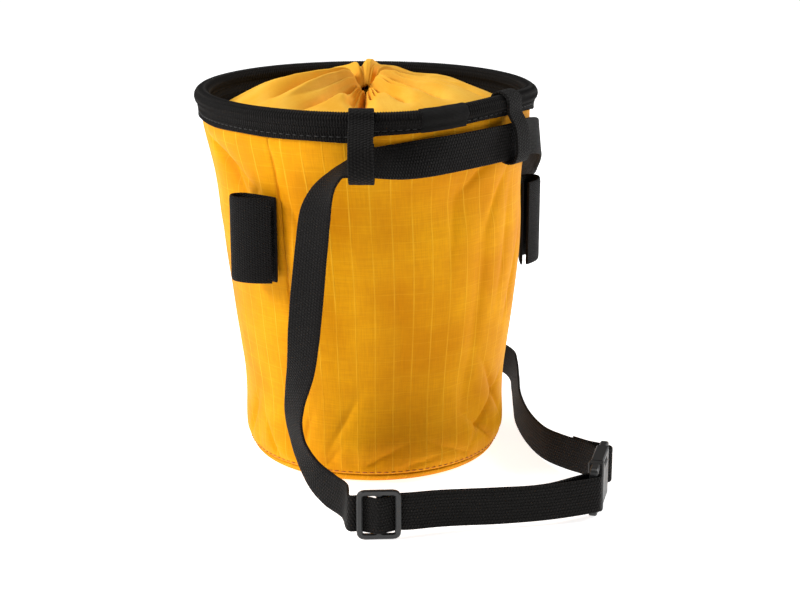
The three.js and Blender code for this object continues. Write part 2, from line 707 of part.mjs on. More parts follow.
// The webbing turns around an upright end bar of the buckle and leaves towards the heading.
function barTurn(endSign, heading) {
  const barAt = endSign * (BUCKLE_LENGTH / 2 - FITTING_BAR / 2);
  const bar = spotPoint(BUCKLE_SPOT, barAt, 0);
  const reach = BUCKLE_FRAME_THICKNESS / 2 + GAP + BELT_THICKNESS / 2 + GAP;
  const turns = [82, 130, 180, 230, 278];
  return turns.map((turn) => {
    const a = radians(heading + turn);
    const point = bar.clone().add(new THREE.Vector3(reach * Math.cos(a), reach * Math.sin(a), 0));
    return { point, across: DOWN, steps: 2 };
  });
}

// A copy of a run of stations, moved level to one side by a distance.
function beside(stations, distance) {
  return stations.map((station, i) => {
    const next = stations[Math.min(i + 1, stations.length - 1)].point;
    const before = stations[Math.max(i - 1, 0)].point;
    const run = next.clone().sub(before).setZ(0).normalize();
    const aside = new THREE.Vector3(run.y, -run.x, 0);
    return { ...station, point: station.point.clone().addScaledVector(aside, distance) };
  });
}

function beltStrap() {
  const back = BELT_BACK.map(beltStation);
  const tackRun = back[1].point.clone().sub(back[0].point).setLength(BACK_TACK);
  const tackEnd = back[0].point.clone().add(tackRun);
  const tackStart = { point: back[0].point, across: DOWN };
  const tack = beside([{ point: tackEnd, across: DOWN }, tackStart], -1.2 * LAYER);
  const doubled = BELT_DOUBLED.map(beltStation);
  const front = beside(doubled, LAYER / 2);
  const behind = beside(doubled, -LAYER / 2).reverse();
  const offBehind = SLIDER_THICKNESS / 2 + BELT_THICKNESS / 2 + GAP + LAYER;
  const stations = [
    ...tack,
    ...barTurn(1, BACK_STRAP_HEADING).reverse(),
    ...back,
    ...BELT_FRONT.map(beltStation),
    ...sliderWeave(),
    ...front,
    ...barTurn(-1, FRONT_STRAP_HEADING),
    ...behind,
    { point: spotPoint(SLIDER_SPOT, SLIDER_LENGTH / 2 + 2, -offBehind), across: DOWN },
    { point: spotPoint(SLIDER_SPOT, 0, -offBehind), across: DOWN },
  ];
  return webbing(stations, BELT_WIDTH, BELT_THICKNESS, 2);
}

// Outline with rounded corners, centred on a point.
function roundedBox(target, x0, y0, x1, y1, r) {
  target.moveTo(x0 + r, y0);
  target.lineTo(x1 - r, y0);
  target.quadraticCurveTo(x1, y0, x1, y0 + r);
  target.lineTo(x1, y1 - r);
  target.quadraticCurveTo(x1, y1, x1 - r, y1);
  target.lineTo(x0 + r, y1);
  target.quadraticCurveTo(x0, y1, x0, y1 - r);
  target.lineTo(x0, y0 + r);
  target.quadraticCurveTo(x0, y0, x0 + r, y0);
  return target;
}

// A plate with bevelled edges; the outline is its outermost size and its middle is at z = 0.
function plate(shape, thickness, bevel) {
  const geometry = new THREE.ExtrudeGeometry(shape, {
    depth: thickness - 2 * bevel,
    bevelEnabled: true,
    bevelSize: bevel,
    bevelOffset: -bevel,
    bevelThickness: bevel,
    bevelSegments: 1,
    curveSegments: 4,
  });
  geometry.translate(0, 0, bevel - thickness / 2);
  geometry.deleteAttribute("uv");
  geometry.deleteAttribute("normal");
  const merged = mergeVertices(geometry, 1e-4);
  merged.setIndex(withoutSlivers(merged));
  return turnedOutwards(merged);
}

function toManifold(geometry) {
  const mesh = new manifold.Mesh({
    numProp: 3,
    vertProperties: new Float32Array(geometry.getAttribute("position").array),
    triVerts: new Uint32Array(geometry.getIndex().array),
  });
  mesh.merge();
  return new manifold.Manifold(mesh);
}

function joined(first, second) {
  const mesh = manifold.Manifold.union(toManifold(first), toManifold(second)).getMesh();
  const geometry = new THREE.BufferGeometry();
  geometry.setAttribute("position", new THREE.BufferAttribute(new Float32Array(mesh.vertProperties), 3));
  geometry.setIndex(Array.from(mesh.triVerts));
  return turnedOutwards(mergeVertices(geometry, 1e-3));
}

function placed(geometry, spot) {
  const a = radians(spot.heading);
  const along = new THREE.Vector3(Math.cos(a), Math.sin(a), 0);
  const up = new THREE.Vector3(0, 0, 1);
  const face = new THREE.Vector3(Math.sin(a), -Math.cos(a), 0);
  const matrix = new THREE.Matrix4().makeBasis(along, up, face);
  matrix.setPosition(spotPoint(spot, 0, 0));
  geometry.applyMatrix4(matrix);
  return geometry;
}

function slider() {
  const half = SLIDER_LENGTH / 2;
  const tall = FITTING_TALL / 2;
  const open = BELT_WIDTH / 2 + SLOT_CLEARANCE;
  const shape = roundedBox(new THREE.Shape(), -half, -tall, half, tall, 3.4);
  const near = SLIDER_CENTRE_BAR / 2;
  const far = half - FITTING_BAR;
  shape.holes.push(roundedBox(new THREE.Path(), near, -open, far, open, 0.8));
  shape.holes.push(roundedBox(new THREE.Path(), -far, -open, -near, open, 0.8));
  return placed(plate(shape, SLIDER_THICKNESS, SLIDER_BEVEL), SLIDER_SPOT);
}

// End frame of a buckle half: a slot for the webbing with an upright bar at the end.
function buckleEndFrame(endSign, inTo) {
  const half = BUCKLE_LENGTH / 2;
  const tall = FITTING_TALL / 2;
  const open = BELT_WIDTH / 2 + SLOT_CLEARANCE;
  const slotFrom = half - FITTING_BAR;
  const slotTo = slotFrom - BUCKLE_SLOT;
  const ends = (a, b) => (endSign > 0 ? [a, b] : [-b, -a]);
  const [x0, x1] = ends(inTo, half);
  const shape = roundedBox(new THREE.Shape(), x0, -tall, x1, tall, 2.4);
  const [s0, s1] = ends(slotTo, slotFrom);
  shape.holes.push(roundedBox(new THREE.Path(), s0, -open, s1, open, 0.8));
  return plate(shape, BUCKLE_FRAME_THICKNESS, BUCKLE_BEVEL);
}

function buckleSplit() {
  return -BUCKLE_LENGTH / 2 + BUCKLE_LENGTH * BUCKLE_SOCKET_SHARE;
}

// Socket half: a thick body with a notch along each edge for the plug's arms.
function buckleSocket() {
  const half = BUCKLE_LENGTH / 2;
  const tall = FITTING_TALL / 2;
  const waist = tall - BUCKLE_ARM_WIDTH - GAP;
  const bodyFrom = -half + FITTING_BAR + BUCKLE_SLOT;
  const split = buckleSplit();
  const notch = split - BUCKLE_ARM_LENGTH - GAP;
  const shape = new THREE.Shape();
  shape.moveTo(bodyFrom + 0.2, -tall);
  shape.lineTo(notch, -tall);
  shape.lineTo(notch, -waist);
  shape.lineTo(split, -waist);
  shape.lineTo(split, waist);
  shape.lineTo(notch, waist);
  shape.lineTo(notch, tall);
  shape.lineTo(bodyFrom + 0.2, tall);
  shape.closePath();
  const body = plate(shape, BUCKLE_THICKNESS, BUCKLE_BEVEL);
  const frame = buckleEndFrame(-1, half - FITTING_BAR - BUCKLE_SLOT - 2.2);
  return placed(joined(body, frame), BUCKLE_SPOT);
}

// Plug half: a shoulder with two springy arms that lie in the socket's notches.
function bucklePlug() {
  const half = BUCKLE_LENGTH / 2;
  const tall = FITTING_TALL / 2;
  const armIn = tall - BUCKLE_ARM_WIDTH;
  const face = buckleSplit() + GAP;
  const tip = face - BUCKLE_ARM_LENGTH;
  const bodyTo = half - FITTING_BAR - BUCKLE_SLOT - 0.2;
  const shape = new THREE.Shape();
  shape.moveTo(tip, -tall);
  shape.lineTo(bodyTo, -tall);
  shape.lineTo(bodyTo, tall);
  shape.lineTo(tip, tall);
  shape.lineTo(tip, armIn);
  shape.lineTo(face, armIn);
  shape.lineTo(face, -armIn);
  shape.lineTo(tip, -armIn);
  shape.closePath();
  const body = plate(shape, mix(BUCKLE_FRAME_THICKNESS, BUCKLE_THICKNESS, 0.6), BUCKLE_BEVEL);
  const frame = buckleEndFrame(1, bodyTo - 2);
  return placed(joined(body, frame), BUCKLE_SPOT);
}

// Group of the whole bag
const bag = new THREE.Group();
bag.name = "chalk_bag";
bag.add(named("back_panel", wallPanel(-SEAM_ANGLE, SEAM_ANGLE, 23, 16), CLOTH_YELLOW));
bag.add(named("front_panel", wallPanel(SEAM_ANGLE, 360 - SEAM_ANGLE, 34, 16), CLOTH_YELLOW));
bag.add(named("base_panel", basePanel(), CLOTH_YELLOW));
bag.add(named("rim_binding", rimBinding(), WEBBING_BLACK));
bag.add(named("collar", collar(), COLLAR_YELLOW));
for (const loop of BELT_LOOPS) bag.add(named(loop.name, beltLoop(loop), WEBBING_BLACK));
for (const holder of BRUSH_HOLDERS) bag.add(named(holder.name, brushHolder(holder), ELASTIC_BLACK));
bag.add(named("belt_strap", beltStrap(), WEBBING_BLACK));
bag.add(named("slider", slider(), PLASTIC_BLACK));
bag.add(named("buckle_socket", buckleSocket(), PLASTIC_BLACK));
bag.add(named("buckle_plug", bucklePlug(), PLASTIC_BLACK));

export default bag;
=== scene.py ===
# Climbing chalk bag, dressed for rendering: cloth, webbing, elastic and plastic around the packed
# solids. Metres, +Z up, origin at the centre of the base. The panel with the belt loops faces -Y.
# Angles are measured about the bag's axis in degrees, from -Y towards +X.

import math

import bpy
import numpy as np
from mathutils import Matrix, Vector


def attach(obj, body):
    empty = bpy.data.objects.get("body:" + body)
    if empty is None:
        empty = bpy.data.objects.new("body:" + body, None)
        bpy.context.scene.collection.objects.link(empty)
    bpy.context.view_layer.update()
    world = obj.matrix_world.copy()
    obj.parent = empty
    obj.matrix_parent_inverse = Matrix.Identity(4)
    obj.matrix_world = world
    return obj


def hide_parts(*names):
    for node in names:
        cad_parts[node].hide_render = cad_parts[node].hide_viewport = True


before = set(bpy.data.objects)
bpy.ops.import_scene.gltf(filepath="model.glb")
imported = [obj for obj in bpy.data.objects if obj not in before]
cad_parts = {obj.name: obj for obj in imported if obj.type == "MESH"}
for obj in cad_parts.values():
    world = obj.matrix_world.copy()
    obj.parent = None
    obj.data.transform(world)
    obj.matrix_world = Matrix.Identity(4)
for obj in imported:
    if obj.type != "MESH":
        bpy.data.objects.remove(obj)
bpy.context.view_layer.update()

MM = 0.001
UP = (0, 0, 1)
DOWN = (0, 0, -1)

# Bag body, as in the solids
BAG_HEIGHT = 161 * MM
RIM_RADIUS = 73 * MM
BASE_RADIUS = 57.3 * MM
WALL = 1.6 * MM
BASE_RISE = 4.2 * MM
BASE_EDGE_RADIUS = 5.5 * MM
SEAM_ANGLE = 64
RIM_LEAN = (-2.5 * MM, 1.5 * MM)
FACET_SAG = 0.12 * MM

# Relief of the body's cloth: shares of the height where the wall keeps clear of folds, and the
# sizes of its dips, puckers and unevenness.
HEM_CALM = 0.012
HEM_FADE = 0.06
FOOT_FADE = 0.03
CREASE_STRENGTH = 2.1
SEAM_DIP = 0.8 * MM
SEAM_DIP_ANGLE = 5
SEAM_LINE = 0.7 * MM
SEAM_LINE_ANGLE = 0.8
SEAM_PUCKER = 0.12 * MM
SEAM_PUCKER_ANGLE = 3.2
HEM_PUCKER = 0.22 * MM
HEM_PUCKER_REACH = 11 * MM
BASE_PUCKER = 0.65 * MM
BASE_PUCKER_REACH = 8 * MM
SOFT_BROAD = 0.55 * MM
SOFT_FINE = 0.16 * MM
WALL_STEP = 0.75
WALL_ROWS = 150
FOOT_TUCK = 0.2

# Rim binding
BEAD_RADIUS = 3.3 * MM
BINDING_TAPE = 1.2 * MM
HEM_HEIGHT = 11.6 * MM
HEM_TUCK = 2.7 * MM
HEM_STITCH_UP = 2.1 * MM
STITCH_TUCK = 0.85
INNER_LEG_HEIGHT = 11.7 * MM
HEM_THINNING = 0.6 * MM
HEM_WAVE_BROAD = 0.22 * MM
HEM_WAVE_FINE = 0.12 * MM
HEM_ROWS = 6
RIBBED_ROWS = 21
RIB_PITCH = 1.15 * MM
RIB_HEIGHT = 0.19 * MM
STEPS_PER_RIB = 4

PATCH_FROM = -12.5
PATCH_TO = 3.5
PATCH_CLOTH = 0.5 * MM
PATCH_UNDER = 0.12 * MM
PATCH_CRUMPLE = 0.10 * MM
PATCH_FIRST_TURN = -34
PATCH_TURN_STEP = 14

# Gathered collar
COLLAR_CLOTH = 1.2 * MM
COLLAR_RISE = 18.5 * MM
COLLAR_HOLE_RADIUS = 3.2 * MM
COLLAR_EDGE_DROP = 11.2 * MM
COLLAR_COLUMNS = 540
COLLAR_ROWS = 64
FOLD_STRENGTH = 1.7
FOLD_SPREAD = 1.15
FOLD_WANDER = 5

# Belt webbing, its loops and fittings
BELT_WIDTH = 15 * MM
BELT_THICKNESS = 1.2 * MM
LOOP_WIDTH = 10 * MM
LOOP_THICKNESS = 1.2 * MM
LOOP_DROP = 25 * MM
SLIDER_LENGTH = 17.4 * MM
SLIDER_THICKNESS = 1.8 * MM
SLIDER_CENTRE_BAR = 2 * MM
BUCKLE_LENGTH = 35 * MM
BUCKLE_FRAME_THICKNESS = 3.4 * MM
FITTING_BAR = 2.4 * MM
FITTING_TALL = 20.6 * MM
FLOOR_GAP = 0.2 * MM
GAP = 0.3 * MM
LOOP_RIB_HEIGHT = 0.05 * MM
BAND_WANDER = 0.12 * MM
BELT_STEP = 0.7 * MM
EDGE_SOFTNESS = 0.22 * MM

# Brush holders
HOLDER_LENGTH = 19 * MM
HOLDER_DEPTH = 8 * MM
HOLDER_ELASTIC = 1.2 * MM
HOLDER_STEP = 0.6 * MM

# Stitching
THREAD_RADIUS = 0.22 * MM
STITCH_LENGTH = 2.3 * MM
STITCH_PITCH = 3.0 * MM
BASE_STITCH_UP = 1.0 * MM
BASE_STITCH_OFF = 0.05 * MM
RIM_STITCH_SUNK = 0.08 * MM
BOX_LENGTH = 11 * MM
BOX_INSET = 1.6 * MM
BOX_FROM_BUCKLE = 4 * MM
BOX_STITCH_LENGTH = 1.6 * MM
BOX_STITCH_PITCH = 2.2 * MM
BOX_STEPS = 12
ROUTE_STEP = 0.5 * MM

# Values worked out from the sizes above
BEAD_CENTRE_RADIUS = RIM_RADIUS - BEAD_RADIUS
BEAD_CENTRE_Z = BAG_HEIGHT - BEAD_RADIUS
HEM_OUTER = BEAD_CENTRE_RADIUS + (WALL + 2 * GAP) / 2 + BINDING_TAPE - HEM_THINNING
HEM_INNER = HEM_OUTER - BINDING_TAPE
MOUTH_RADIUS = HEM_INNER - GAP - FACET_SAG
LEG_INNER = MOUTH_RADIUS - WALL - GAP - BINDING_TAPE
HEM_Z = BAG_HEIGHT - HEM_HEIGHT
LEG_FOOT_Z = BAG_HEIGHT - INNER_LEG_HEIGHT
WALL_TOP = BEAD_CENTRE_Z - BEAD_RADIUS - GAP
WALL_FOOT = BASE_RISE + GAP
COLLAR_RADIUS = LEG_INNER - GAP
COLLAR_EDGE_Z = BAG_HEIGHT - COLLAR_EDGE_DROP

# Wall outline: height share, bulge as a share of the step from base radius to mouth radius.
WALL_OUTLINE = [
    (0.028, -0.20), (0.055, -0.04), (0.090, 0.00), (0.160, -0.02), (0.230, 0.02), (0.300, 0.14),
    (0.380, 0.28), (0.470, 0.40), (0.560, 0.52), (0.650, 0.60), (0.730, 0.63), (0.790, 0.70),
    (0.850, 0.84), (0.885, 0.94), (0.912, 1.00), (1.000, 1.00),
]

# Broad dents, as in the solids: angle, height share, length share, width share, turn of the
# length from upright in degrees, depth as a share of the base radius.
DENTS = [
    (-47, 0.80, 0.10, 0.050, 35, 0.028),
    (-88, 0.815, 0.10, 0.045, -40, 0.026),
    (6, 0.76, 0.09, 0.060, 60, 0.030),
    (22, 0.13, 0.22, 0.035, -32, 0.022),
    (-34, 0.06, 0.12, 0.040, 80, 0.020),
    (-92, 0.09, 0.10, 0.045, 25, 0.024),
    (-8, 0.40, 0.26, 0.070, 8, 0.012),
    (95, 0.78, 0.12, 0.050, 30, 0.026),
    (140, 0.70, 0.16, 0.060, -25, 0.026),
    (190, 0.55, 0.22, 0.070, 12, 0.020),
    (225, 0.80, 0.11, 0.050, 50, 0.024),
    (165, 0.16, 0.16, 0.050, 40, 0.022),
]

# Creases in the cloth, sharper than dents; the same columns. A negative depth is a ridge.
CREASES = [
    (13, 0.44, 0.300, 0.036, 3, 0.010),
    (-20, 0.48, 0.260, 0.030, -3, 0.009),
    (30, 0.62, 0.140, 0.020, 10, 0.010),
    (-88, 0.835, 0.075, 0.012, -60, 0.022),
    (29, 0.15, 0.085, 0.012, 45, 0.024),
    (40, 0.52, 0.110, 0.014, 18, 0.010),
    (-44, 0.16, 0.090, 0.012, 28, 0.012),
    (-96, 0.86, 0.085, 0.012, -48, 0.016),
    (-86, 0.80, 0.070, 0.014, -35, 0.014),
    (-76, 0.74, 0.060, 0.010, 20, 0.012),
    (-70, 0.66, 0.050, 0.010, 12, 0.012),
    (-58, 0.72, 0.055, 0.010, -20, 0.010),
    (-60, 0.62, 0.070, 0.011, 10, -0.008),
    (14, 0.82, 0.060, 0.014, 50, 0.018),
    (24, 0.74, 0.080, 0.016, 28, 0.014),
    (2, 0.70, 0.120, 0.018, 8, 0.008),
    (16, 0.52, 0.180, 0.020, 4, 0.007),
    (-20, 0.45, 0.200, 0.022, -4, 0.006),
    (34, 0.20, 0.120, 0.012, -38, 0.016),
    (26, 0.10, 0.100, 0.010, -52, 0.014),
    (8, 0.07, 0.080, 0.010, -66, 0.010),
    (-12, 0.05, 0.060, 0.009, 75, 0.012),
    (-28, 0.07, 0.060, 0.009, 60, 0.012),
    (-50, 0.06, 0.060, 0.010, 40, 0.012),
    (-62, 0.10, 0.080, 0.010, 18, 0.012),
    (-80, 0.07, 0.060, 0.010, -30, 0.014),
    (-98, 0.12, 0.080, 0.012, 28, 0.014),
    (60, 0.30, 0.150, 0.016, -12, 0.012),
    (74, 0.88, 0.050, 0.010, 30, 0.012),
    (110, 0.85, 0.070, 0.012, -30, 0.014),
    (130, 0.62, 0.100, 0.016, 20, 0.014),
    (150, 0.30, 0.140, 0.016, -25, 0.012),
    (172, 0.82, 0.080, 0.014, 25, 0.014),
    (185, 0.10, 0.080, 0.012, 50, 0.014),
    (205, 0.40, 0.140, 0.018, -15, 0.012),
    (232, 0.14, 0.090, 0.012, -45, 0.014),
    (245, 0.60, 0.110, 0.014, 22, 0.012),
]

# Collar section: reach as a share of the collar radius, rise as a share of the collar's rise.
COLLAR_SECTION = [
    (0.00, 0.52), (0.06, 0.62), (0.11, 0.92), (0.17, 1.00), (0.26, 0.90), (0.38, 0.80),
    (0.52, 0.70), (0.68, 0.54), (0.84, 0.28), (0.95, 0.07), (1.00, 0.00),
]

# Where the collar's cloth lies higher: angle, half width, lift as a share of the collar's rise.
COLLAR_SWELLS = [(-92, 55, 0.20), (149, 60, 0.10), (-31, 62, -0.10)]

# Billows close round the drawn hole: angle, half width, lift as a share of the collar's rise.
COLLAR_BILLOWS = [(140, 40, 0.06), (214, 30, 0.10), (-92, 34, 0.08), (-31, 70, -0.34), (60, 50, -0.22)]

# Main collar folds, near those of the solids: valley angle, half width, depth share, reach share.
COLLAR_FOLDS = [
    (-34, 9, 0.42, 0.80), (-62, 11, 0.34, 0.92), (-90, 10, 0.36, 0.86), (-118, 12, 0.32, 0.95),
    (-150, 12, 0.46, 0.70), (-7, 8, 0.30, 0.72), (20, 9, 0.36, 0.80), (50, 11, 0.34, 0.90),
    (82, 12, 0.36, 0.88), (116, 12, 0.32, 0.80), (160, 10, 0.10, 0.76), (190, 13, 0.34, 0.72),
]

# Finer pleats between them: valley angle, half width, depth share, reach share.
COLLAR_PLEATS = [
    (-45, 4, 0.16, 0.66), (-50, 3, 0.10, 0.50), (-24, 4, 0.16, 0.58), (-17, 3, 0.12, 0.46),
    (-76, 5, 0.14, 0.78), (-104, 5, 0.14, 0.74), (-133, 5, 0.16, 0.70), (6, 4, 0.12, 0.60),
    (34, 4, 0.12, 0.66), (66, 5, 0.12, 0.64), (98, 5, 0.12, 0.70), (131, 5, 0.08, 0.62),
    (164, 6, 0.07, 0.60), (-165, 6, 0.10, 0.62), (12, 3, 0.08, 0.40), (-70, 3, 0.08, 0.52),
]

# The rim is not quite level: angle, half width, rise as a share of the bag's height.
RIM_WAVES = [(25, 46, 0.0155)]

# Where the hem is tucked up shorter, as a share of the full tuck.
HEM_TUCKS = [(-34, 0), (-26, 1), (45, 1), (62, 0)]

# Belt loops: node, angle, stand off the rim radius as a share of the loop's width.
BELT_LOOPS = [("belt_loop_left", -31.5, 1.43), ("belt_loop_right", 24, 0.52)]

# Band of a belt loop outside the rim: out from the wall to the full stand-off, drop share.
LOOP_BAND = [
    (0.60, 0.29), (0.90, 0.50), (1.00, 0.74), (0.98, 0.90), (0.82, 1.00), (0.48, 1.02), (0.18, 0.97),
]

# Brush holders: node, side of the bag, lower edge, height, swing away from the wall in degrees.
BRUSH_HOLDERS = [
    ("brush_holder_left", -1, 88.6 * MM, 35.5 * MM, 0),
    ("brush_holder_right", 1, 79.4 * MM, 37.2 * MM, 8),
]

# Elastic tube: along as a share of its length from the seam, off as a share of its depth.
HOLDER_BAND = [
    (0.00, 0.04), (0.30, 0.00), (0.62, 0.00), (0.84, 0.08), (0.96, 0.30), (1.00, 0.56),
    (0.95, 0.82), (0.82, 0.98), (0.62, 1.00), (0.40, 0.88), (0.18, 0.60), (0.03, 0.34),
]

# Belt route, as in the solids: x and y as shares of the rim radius, up as a share of the bag's
# height, lift as a share of the fittings' height, then the direction across the webbing.
BELT_BACK = [
    (0.703, -1.214, 0.000, 0.48, DOWN),
    (0.692, -1.049, 0.000, 0.42, DOWN),
    (0.690, -0.846, 0.000, 0.38, DOWN),
    (0.757, -0.583, 0.000, 0.375, (-0.03, 0.02, -1.00)),
    (0.911, -0.245, 0.000, 0.375, (-0.09, 0.05, -1.00)),
    (1.087, 0.033, 0.000, 0.375, (-0.12, 0.07, -1.00)),
    (1.258, 0.298, 0.000, 0.375, (-0.12, 0.07, -1.00)),
    (1.379, 0.512, 0.000, 0.38, (-0.09, 0.05, -1.00)),
    (1.403, 0.698, 0.000, 0.40, DOWN),
    (1.333, 0.834, 0.065, 0.00, (-0.08, 0.10, -1.00)),
    (1.226, 0.910, 0.109, 0.00, (-0.37, 0.36, -0.85)),
    (1.134, 0.917, 0.205, 0.00, (-0.58, 0.68, -0.35)),
    (1.115, 0.832, 0.323, 0.00, (-0.57, 0.81, -0.10)),
    (1.146, 0.670, 0.460, 0.00, (-0.48, 0.87, 0.00)),
    (1.170, 0.432, 0.596, 0.00, (-0.30, 0.95, 0.00)),
    (1.126, 0.138, 0.704, 0.00, (-0.10, 0.99, 0.03)),
    (0.972, -0.224, 0.784, 0.00, (0.22, 0.95, 0.20)),
    (0.772, -0.592, 0.863, 0.00, (0.39, 0.75, 0.50)),
    (0.654, -0.737, 0.888, 0.00, (0.27, 0.36, 0.88)),
    (0.521, -0.824, 0.898, 0.00, (0.09, 0.09, 1.00)),
]
BELT_FRONT = [
    (0.382, -0.907, 0.899, 0.00, UP),
    (0.145, -0.959, 0.896, 0.00, UP),
    (-0.110, -0.972, 0.890, 0.00, (0.03, 0.06, 1.00)),
    (-0.356, -0.946, 0.884, 0.00, (0.26, 0.46, 0.84)),
    (-0.586, -0.902, 0.882, 0.00, (0.45, 0.75, 0.47)),
    (-0.681, -0.839, 0.867, 0.00, (0.33, 0.91, 0.05)),
    (-0.728, -0.817, 0.846, 0.00, (0.12, 0.98, -0.10)),
    (-0.775, -0.789, 0.807, 0.00, (-0.22, 0.95, -0.22)),
    (-0.804, -0.772, 0.764, 0.00, (-0.41, 0.87, -0.28)),
    (-0.824, -0.759, 0.683, 0.00, (-0.47, 0.87, -0.15)),
    (-0.849, -0.745, 0.558, 0.00, (-0.52, 0.85, -0.08)),
    (-0.867, -0.734, 0.458, 0.00, (-0.48, 0.87, -0.02)),
    (-0.878, -0.711, 0.366, 0.00, (-0.30, 0.95, 0.00)),
    (-0.897, -0.676, 0.289, 0.00, (-0.05, 1.00, 0.02)),
    (-0.900, -0.658, 0.230, 0.00, (0.04, 1.00, 0.00)),
    (-0.882, -0.669, 0.173, 0.00, (0.06, 1.00, -0.10)),
    (-0.861, -0.714, 0.127, 0.00, (-0.01, 0.93, -0.37)),
    (-0.836, -0.801, 0.000, 0.68, (-0.14, 0.79, -0.60)),
    (-0.815, -0.917, 0.000, 0.54, (-0.18, 0.52, -0.84)),
    (-0.805, -1.059, 0.000, 0.50, (-0.08, 0.12, -0.99)),
]
BELT_DOUBLED = [
    (-0.405, -1.418, 0.000, 0.49, DOWN),
    (-0.106, -1.534, 0.000, 0.46, DOWN),
    (0.141, -1.627, 0.000, 0.47, DOWN),
]

# Slider and buckle: x and y of the middle as shares of the rim radius, heading from +X.
SLIDER_SPOT = (-0.746, -1.329, -28)
BUCKLE_SPOT = (0.575, -1.516, 45)
BACK_STRAP_HEADING = 98
FRONT_STRAP_HEADING = 164
BACK_TACK = 8.8 * MM

# Ripstop cloth: grid of thicker threads, fine threads and relief
GRID_PITCH = 7.4 * MM
GRID_UPRIGHT = 0.36 * MM
GRID_LEVEL = 0.30 * MM
GRID_WEAR = 17 * MM
RIPSTOP_THREAD = 0.55 * MM
RIPSTOP_RUN = 9 * MM
RIPSTOP_MOTTLE = 26 * MM
RIPSTOP_RELIEF = 0.18 * MM

# Collar cloth
COLLAR_THREAD = 0.5 * MM
COLLAR_RUN = 5 * MM
COLLAR_MOTTLE = 14 * MM
COLLAR_RELIEF = 0.10 * MM

# Black weaves: pitch of the ribs and width of their columns
WEBBING_WEAVE = (1.25 * MM, 1.3 * MM)
BINDING_WEAVE = (RIB_PITCH, 1.5 * MM)
TAPE_WEAVE = (0.5 * MM, 0.5 * MM)
ELASTIC_WEAVE = (1.0 * MM, 1.1 * MM)
WEAVE_RELIEF = 0.32 * MM
FUZZ_SIZE = 0.9 * MM
WEAR_SIZE = 12 * MM

# Plastic and thread
PLASTIC_GRAIN = 0.7 * MM
PLASTIC_SMEAR = 9 * MM
PLASTIC_RELIEF = 0.03 * MM
THREAD_TWIST = 0.35 * MM
THREAD_RELIEF = 0.05 * MM

# Colours, linear
YELLOW_CLOTH = (0.72, 0.275, 0.001)
YELLOW_DEEP = (0.55, 0.165, 0.001)
YELLOW_LIGHT = (0.86, 0.385, 0.004)
COLLAR_CLOTH_COLOR = (0.86, 0.42, 0.022)
COLLAR_LIGHT = (0.92, 0.52, 0.055)
COLLAR_DEEP = (0.72, 0.25, 0.008)
BLACK_WEBBING = (0.0030, 0.0024, 0.0020)
# Painted highlight: the lighter colour painted on the raised rib crests of the webbing and binding
WEBBING_CREST_HIGHLIGHT = (0.030, 0.026, 0.023)
BLACK_ELASTIC = (0.0030, 0.0024, 0.0020)
# Painted highlight: the lighter colour painted on the raised rib crests of the elastic and tape
ELASTIC_CREST_HIGHLIGHT = (0.020, 0.017, 0.015)
BLACK_PLASTIC = (0.010, 0.010, 0.010)
BLACK_THREAD = (0.020, 0.018, 0.017)
YELLOW_LINE = (0.97, 0.54, 0.03)
ORANGE_THREAD = (0.58, 0.13, 0.006)


# Sums and curves

def smooth(t):
    t = np.clip(t, 0.0, 1.0)
    return t * t * (3 - 2 * t)


def mix(a, b, t):
    return a + (b - a) * t


def curve_through(rows, at):
    """Smooth value at a key, from rows of (key, value)."""
    keys = np.array([row[0] for row in rows], float)
    values = np.array([row[1] for row in rows], float)
    at = np.clip(np.asarray(at, float), keys[0], keys[-1])
    i = np.clip(np.searchsorted(keys, at, side="right") - 1, 0, len(keys) - 2)
    before = np.maximum(i - 1, 0)
    after = np.minimum(i + 2, len(keys) - 1)
    span = keys[i + 1] - keys[i]
    t = (at - keys[i]) / span
    slope_low = (values[i + 1] - values[before]) / (keys[i + 1] - keys[before]) * span
    slope_high = (values[after] - values[i]) / (keys[after] - keys[i]) * span
    a = 2 * values[i] - 2 * values[i + 1] + slope_low + slope_high
    b = -3 * values[i] + 3 * values[i + 1] - 2 * slope_low - slope_high
    return ((a * t + b) * t + slope_low) * t + values[i]


def turn_between(a, b):
    return (np.asarray(a, float) - b + 540) % 360 - 180


def around(angle, radius, z):
    """Points about the bag's axis, which leans a little towards the rim."""
    angle, radius, z = np.broadcast_arrays(*(np.asarray(v, float) for v in (angle, radius, z)))
    share = smooth((z / BAG_HEIGHT - 0.45) / 0.5)
    near = smooth((z / BAG_HEIGHT - 0.8) / 0.13)
    rise = np.zeros_like(z)
    for middle, half, height in RIM_WAVES:
        rise = rise + height * BAG_HEIGHT * smooth(1 - np.abs(turn_between(angle, middle)) / half) * near
    a = np.radians(angle)
    x = radius * np.sin(a) + RIM_LEAN[0] * share
    y = -radius * np.cos(a) + RIM_LEAN[1] * share
    return np.stack([x, y, z + rise], axis=-1)


def ripple(seed, *axes):
    """Gentle repeatable unevenness between -1 and 1, from a few waves over the given axes."""
    rng = np.random.default_rng(seed)
    total = 0.0
    for _ in range(5):
        phase = rng.uniform(0, 2 * math.pi)
        wave = phase
        for axis in axes:
            wave = wave + axis * rng.uniform(-1, 1)
        total = total + np.sin(wave)
    return total / 5


# Meshes

def mesh_object(name, points, faces, uvs=None, smooth_shaded=True):
    mesh = bpy.data.meshes.new(name)
    mesh.from_pydata([tuple(p) for p in points], [], faces)
    if uvs is not None:
        layer = mesh.uv_layers.new(name="metres")
        layer.data.foreach_set("uv", np.asarray(uvs, float).ravel())
    if smooth_shaded:
        mesh.polygons.foreach_set("use_smooth", [True] * len(mesh.polygons))
    mesh.update()
    obj = bpy.data.objects.new(name, mesh)
    bpy.context.scene.collection.objects.link(obj)
    return obj


def signed_volume(points, faces):
    p = np.asarray(points)
    total = 0.0
    for face in faces[:: max(1, len(faces) // 4000)]:
        a = p[face[0]]
        for k in range(1, len(face) - 1):
            total += float(np.dot(a, np.cross(p[face[k]], p[face[k + 1]])))
    return total


